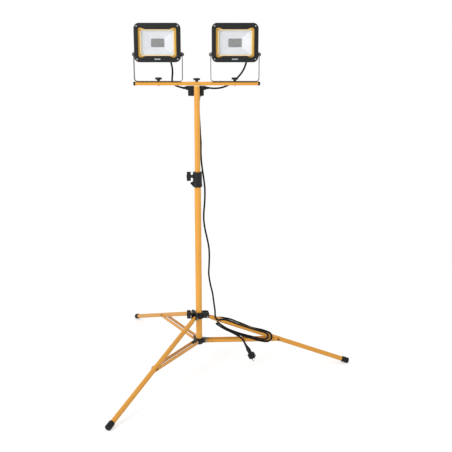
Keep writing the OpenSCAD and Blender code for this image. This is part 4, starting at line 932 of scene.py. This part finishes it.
for side, s in (("left", -1), ("right", 1)):
    body = f"head_{side}"
    H = AT_HEAD(s)
    HF = H @ T(0, 0, MID) @ FRONT        # X across, Y up, Z towards the front; 0 at the middle of the head

    p = Piece(f"{side}_head_frame", body, HF, "charcoal_coat", [f"frame_{side}"])
    seats = [circle(3.9, 24, x * 97, z * 76.5) for x in (-1, 1) for z in (-1, 1)]
    # front lip, crowned towards its rim, with the opening rolled inwards
    O = rrect(222, 182, 26, 10)
    front = [(0, 28.0), (0, 30.2), (0.5, 31.6), (1.5, 32.8), (3.0, 33.6), (5.0, 34.0)]
    bm = bmesh.new()
    outer = [[bm.verts.new((q.x, q.y, z)) for q in (inset(O, d) if d else O)] for d, z in front]
    W = trim_loop(0.0)
    inn = [(0.0, 28.0), (0.0, 31.8), (-0.35, 32.9), (-1.0, 33.7), (-2.0, 34.0)]
    inner = [[bm.verts.new((q.x, q.y, z)) for q in (inset(W, d) if d else W)] for d, z in inn]
    st = [(0.0, 28.0), (0.0, 33.5), (-0.5, 34.0)]
    seatrings = [[[bm.verts.new((q.x, q.y, z)) for q in (inset(c, d) if d else c)] for d, z in st] for c in seats]
    for rings, sign in [(outer, 1), (inner, -1)] + [(sr, -1) for sr in seatrings]:
        n = len(rings[0])
        for a, b2 in zip(rings, rings[1:]):
            for i in range(n):
                j = (i + 1) % n
                bm.faces.new((a[i], a[j], b2[j], b2[i]) if sign > 0 else (a[j], a[i], b2[i], b2[j]))
    for e in (0, -1):
        loops = [outer[e], inner[e]] + [sr[e] for sr in seatrings]
        flat = [v for l in loops for v in l]
        for t in tessellate_polygon([[Vector((v.co.x, v.co.y, 0)) for v in l] for l in loops]):
            try: bm.faces.new([flat[i] for i in t])
            except ValueError: pass
    p.add(bm, CHAR)
    p.add(plate(O, [rrect(182, 140, 14, 8)], 16.2, 28.0, 0.0, 0.8), CHAR)
    # raised bead along the lower band
    p.add(plate(rrect(36, 11, 3.0, 6, 0, -76.4), [rrect(30, 6.4, 1.6, 6, 0, -76.4)], 33.4, 34.5, 0.45), CHAR)
    p.done(smooth=35)

    p = Piece(f"{side}_head_badge", body, HF, "zinc_steel")
    p.add(plate(rrect(29, 5.6, 1.4, 6, 0, -76.4), [], 33.6, 34.3, 0.3), BADGE)
    for k in range(3):
        p.add(plate(rrect(3.4, 2.6, 1.2, 5, (k - 1) * 7.0, -76.4), [], 34.2, 34.6, 0.2), BADGE)
    p.done(smooth=35)
    p = Piece(f"{side}_head_trim", body, HF, "amber_trim", [f"trim_{side}"])
    p.add(plate(trim_loop(-0.4), [rrect(161.6, 120.6, 8.4, 6)], 28.2, 32.2, 0.9, 0.2, seg=3), AMBER)
    p.done(smooth=35)
    p = Piece(f"{side}_head_window_bevel", body, HF, "amber_trim")
    def wr(w, h, r, z): return [(q.x, q.y, z) for q in rrect(w, h, r, 6)]
    # bevel in cream: a painted highlight on the amber trim
    p.add(skin([wr(162.0, 121.0, 8.5, 28.3), wr(162.0, 121.0, 8.5, 32.3), wr(161.2, 120.2, 8.2, 32.75), wr(159.6, 118.8, 7.6, 32.7), wr(154.0, 115.0, 5.2, 31.2), wr(150.4, 111.6, 4.0, 28.6), wr(151.2, 112.4, 4.2, 28.3)], wrap=True), BEVEL_PAINTED_HIGHLIGHT)
    p.done(smooth=30)

    p = Piece(f"{side}_head_glass", body, HF, "clear_glass", [f"glass_{side}"])
    p.add(plate(rrect(172, 130, 6, 5), [], 23.6, 27.6, 0.4), GLASS)
    p.done()
    p = Piece(f"{side}_head_gasket", body, HF, "rubber", [f"gasket_{side}"])
    p.add(plate(rrect(181, 139, 13.5, 6), [rrect(172.6, 130.6, 6, 5)], 23.6, 27.6, 0.5), RUBBER)
    p.done()

    # dish: four sloping walls that meet in creases, floor round the board
    p = Piece(f"{side}_head_reflector", body, HF, "white_reflector", [f"reflector_{side}"])
    p.add(skin([wr(68, 46, 1.2, 4.0), wr(69, 47, 1.3, 4.15), wr(114, 84, 2.0, 13.4), wr(159, 121, 2.6, 22.3), wr(161, 123, 3, 22.9), wr(181, 139, 13.5, 23.1),
                wr(181, 139, 13.5, 21.7), wr(163, 125, 3, 21.5), wr(116, 86, 2, 12.0), wr(70, 48, 1.5, 3.0)], cap0=True, cap1=True), REFLECT)
    for x in (-26, 26):                  # empty loop, adds nothing
        pass
    p.done(smooth=12)

    # board: bare rim, dark top and bottom rails, five rows of chips
    p = Piece(f"{side}_head_led_board", body, HF, "led_board", [f"led_board_{side}"])
    p.add(plate(rrect(90, 60, 2, 3), [], 2.2, 3.6, 0.2), BOARD)
    p.add(plate(rrect(63.4, 40, 1.0, 3, 0, -1.0), [], 3.7, 4.6, 0.2), BOARD)
    for y in (-18.6, 16.6):
        p.add(plate(rrect(62.4, 3.4, 0.5, 2, 0, y), [], 4.4, 4.9, 0.1), LEDRAIL)
    for r in range(6):
        y = -13.6 + r * 5.04
        p.add(plate(rrect(61.4, 1.1, 0.3, 2, 0, y + 2.52), [], 4.5, 4.72, 0.05), LEDRAIL)
        for c in range(10):
            x = -27 + c * 6.0
            p.add(plate(rrect(4.6, 3.4, 0.4, 2, x, y), [], 4.5, 5.15, 0.15, 0, seg=1), BOARD)
            p.add(plate(rrect(3.6, 2.5, 0.9, 2, x, y), [], 5.1, 5.32, 0.1, 0, seg=1), PHOSPHOR)
    for x in (-29.3, 29.3):
        for y in (-18.6, 16.6):
            p.add(screw_head(1.5, 0.6, n=18), ZINC, T(x, y, 4.6))
    p.done(smooth=30, weighted=False)

    # housing: tray, fins, driver compartment, trunnions
    p = Piece(f"{side}_head_housing", body, HF, "charcoal_coat", [f"housing_{side}"])
    def tr(w, h, r, z): return [(q.x, q.y, z) for q in rrect(w, h, r, 10)]
    p.add(skin([tr(192, 152, 14, 2), tr(192, 152, 14, 15.6), tr(193, 153, 14.5, 16.05), tr(211, 171, 21.5, 16.05), tr(212, 172, 22, 15.5), tr(212, 172, 22, 1.0), tr(211.2, 171.2, 21.6, -1.6),
                tr(209.2, 169.2, 20.6, -3.9), tr(206.2, 166.2, 19.4, -5.4), tr(202.4, 162.4, 18, -6.0)]), CHAR)
    comp = [tr_ for tr_ in (0, 1)]
    p.add(plate(rrect(140, 66, 8, 6, 0, -14), [], -34.0, -5.0, 0.0, 1.0), CHAR)
    for m in (-1, 1):                    # lugs of the compartment
        for y in (-40, 12):
            p.add(lathe(profile([(0, 0), (5.2, 0), (5.0, 28.6, 0.8), (0, 28.6)], 3), 28), CHAR, T(m * 63, y, -5.2) @ R("X", 180))
    for k in range(15):
        x = (k - 7) * 13.6
        z0, z1 = ((78, 134) if abs(x) < 72 else (12, 124)) if True else None
        y0, y1 = z0 - MID, z1 - MID
        fin = polyg([(-5, y0, 0), (-27, y0 + 1.5, 6), (-27, y1 - 7, 9), (-20, y1, 7), (-5, y1, 0)], 0, 5)
        # outline in depth and height; thickness across
        b = plate([Vector((q.x, q.y)) for q in reversed(fin)] if False else fin[::-1], [], -1.45, 1.45, 0.7, seg=2)
        p.add(b, CHAR, T(x, 0, 0) @ Matrix(((0, 0, 1, 0), (0, 1, 0, 0), (1, 0, 0, 0), (0, 0, 0, 1))))
    for m in (0, 180):                   # trunnion bosses
        p.add(lathe(profile([(0, 98), (13.0, 98), (11.0, 103, 3), (10.0, 106, 1.5), (10.0, 113.4, 0.8), (0, 114.3)], 4), 40), CHAR, T(0, -MID, 0) @ R("Y", m) @ ALONG_X)
        for f in (0, 60, 120, 180, 240, 300):
            pass
    for x in (-1, 1):                    # corner pads on the back
        for y in (-1, 1):
            p.add(lathe(profile([(0, 0), (6.6, 0), (5.8, 3.6, 1.0), (0, 3.8)], 3), 28), CHAR, T(x * 94, y * 73, -5.4) @ R("X", 180))
    p.done(smooth=35)

    p = Piece(f"{side}_head_driver_cover", body, HF, "charcoal_coat", [f"driver_cover_{side}"])
    p.add(plate(rrect(140, 66, 8, 6, 0, -14), [], -36.5, -34.1, 0.3, 1.0, seg=3), CHAR)
    p.add(plate(rrect(104, 44, 5, 6, 0, -14), [], -37.4, -36.0, 0.2, 0.8, seg=3), CHAR)
    for j in range(5):
        p.add(plate(rrect(80, 2.0, 0.9, 4, 0, -26 + j * 6), [], -38.2, -37.0, 0.1, 0.6), CHAR)
    p.done(smooth=35)

    p = Piece(f"{side}_head_screws", body, HF, "zinc_steel", [f"screws_{side}"])
    for x in (-1, 1):
        for y in (-1, 1):
            p.add(screw_head(3.6, 2.0), ZINC, T(x * 97, y * 76.5, 32.2))
            p.add(lathe([(0, 28.0), (3.0, 28.0), (3.0, 32.4), (0, 32.4)], 20), ZINC, T(x * 97, y * 76.5, 0))
            p.add(screw_head(2.6, 1.3), AMBERSCREW, T(x * 79, y * 57, 32.2))
            p.add(screw_head(3.3, 1.9), ZINC, T(x * 63, -14 + y * 26, -36.4) @ R("X", 180))
    p.done(smooth=35)

    p = Piece(f"{side}_head_gland", body, H @ T(58, 20, 0) @ R("X", 180), "black_moulding", [f"gland_{side}"])
    gland(p, Matrix.Identity(4), -13.5, -8.0, -3.2, 17, 9.6, 7.6, 5.2)
    p.done()

    p = Piece(f"{side}_tilt_bolts", body, H, "zinc_steel", [f"pivot_bolts_{side}"])
    for m in (0, 180):
        M = R("Z", m) @ ALONG_X
        p.add(lathe([(0, 105), (3.9, 105), (3.9, 118.4), (0, 118.4)], 28), ZINC, M)
        p.add(lathe(profile([(4.0, 117.6), (9.4, 117.6), (9.6, 118.2, 0.2), (9.4, 118.8), (4.0, 118.8)], 2), 36), ZINC, M)
        p.add(plate(polyg([(v.x, v.y, 0.8) for v in hexagon(7.4)], 0.8, 3), [], 118.7, 123.4, 0.7), BLACKBOLT, M)
        p.add(lathe(profile([(0, 123), (4.6, 123), (3.9, 124.4, 0.8), (0, 124.6)], 3), 28), BLACKBOLT, M)
    p.done(smooth=35)

    # stirrup: one strip bent round two corners, ends rounded about the tilt bolts
    p = Piece(f"{side}_stirrup", f"bracket_{side}", MAST @ T(s * LAMP_X, 0, BAR_Z + 9.2), "bracket_steel", [f"bracket_{side}"])
    PV = 137.0 - 9.2
    path = []                            # middle of the strip, its half width and its direction
    for k in range(9):
        a = 90 - 90 * k / 8
        path.append((-116, PV + 12.5 * math.sin(math.radians(a)), max(12.5 * math.cos(math.radians(a)), 0.35), (0, -1)))
    for z in (110, 80, 50, 24): path.append((-116, z, 12.5, (0, -1)))
    for k in range(9):
        a = 180 + 90 * k / 8
        path.append((-101.5 + 14.5 * math.cos(math.radians(a)), 16 + 14.5 * math.sin(math.radians(a)), 12.5, (-math.sin(math.radians(a)), math.cos(math.radians(a)))))
    for x in (-80, -40, 0): path.append((x, 1.5, 12.5, (1, 0)))
    half = path[:-1]
    path = path + [(-x, z, w, (dx, -dz)) for x, z, w, (dx, dz) in reversed(half)]
    rings = []
    for x, z, w, (dx, dz) in path:
        nx, nz = -dz, dx                 # towards the inside of the U
        t, c = 1.5, min(0.5, w * 0.5)
        rings.append([(x + nx * n_, y_, z + nz * n_) for y_, n_ in ((-w + c, -t), (w - c, -t), (w, -t + c), (w, t - c), (w - c, t), (-w + c, t), (-w, t - c), (-w, -t + c))])
    p.add(skin(rings), GREY)
    p.done(smooth=35)
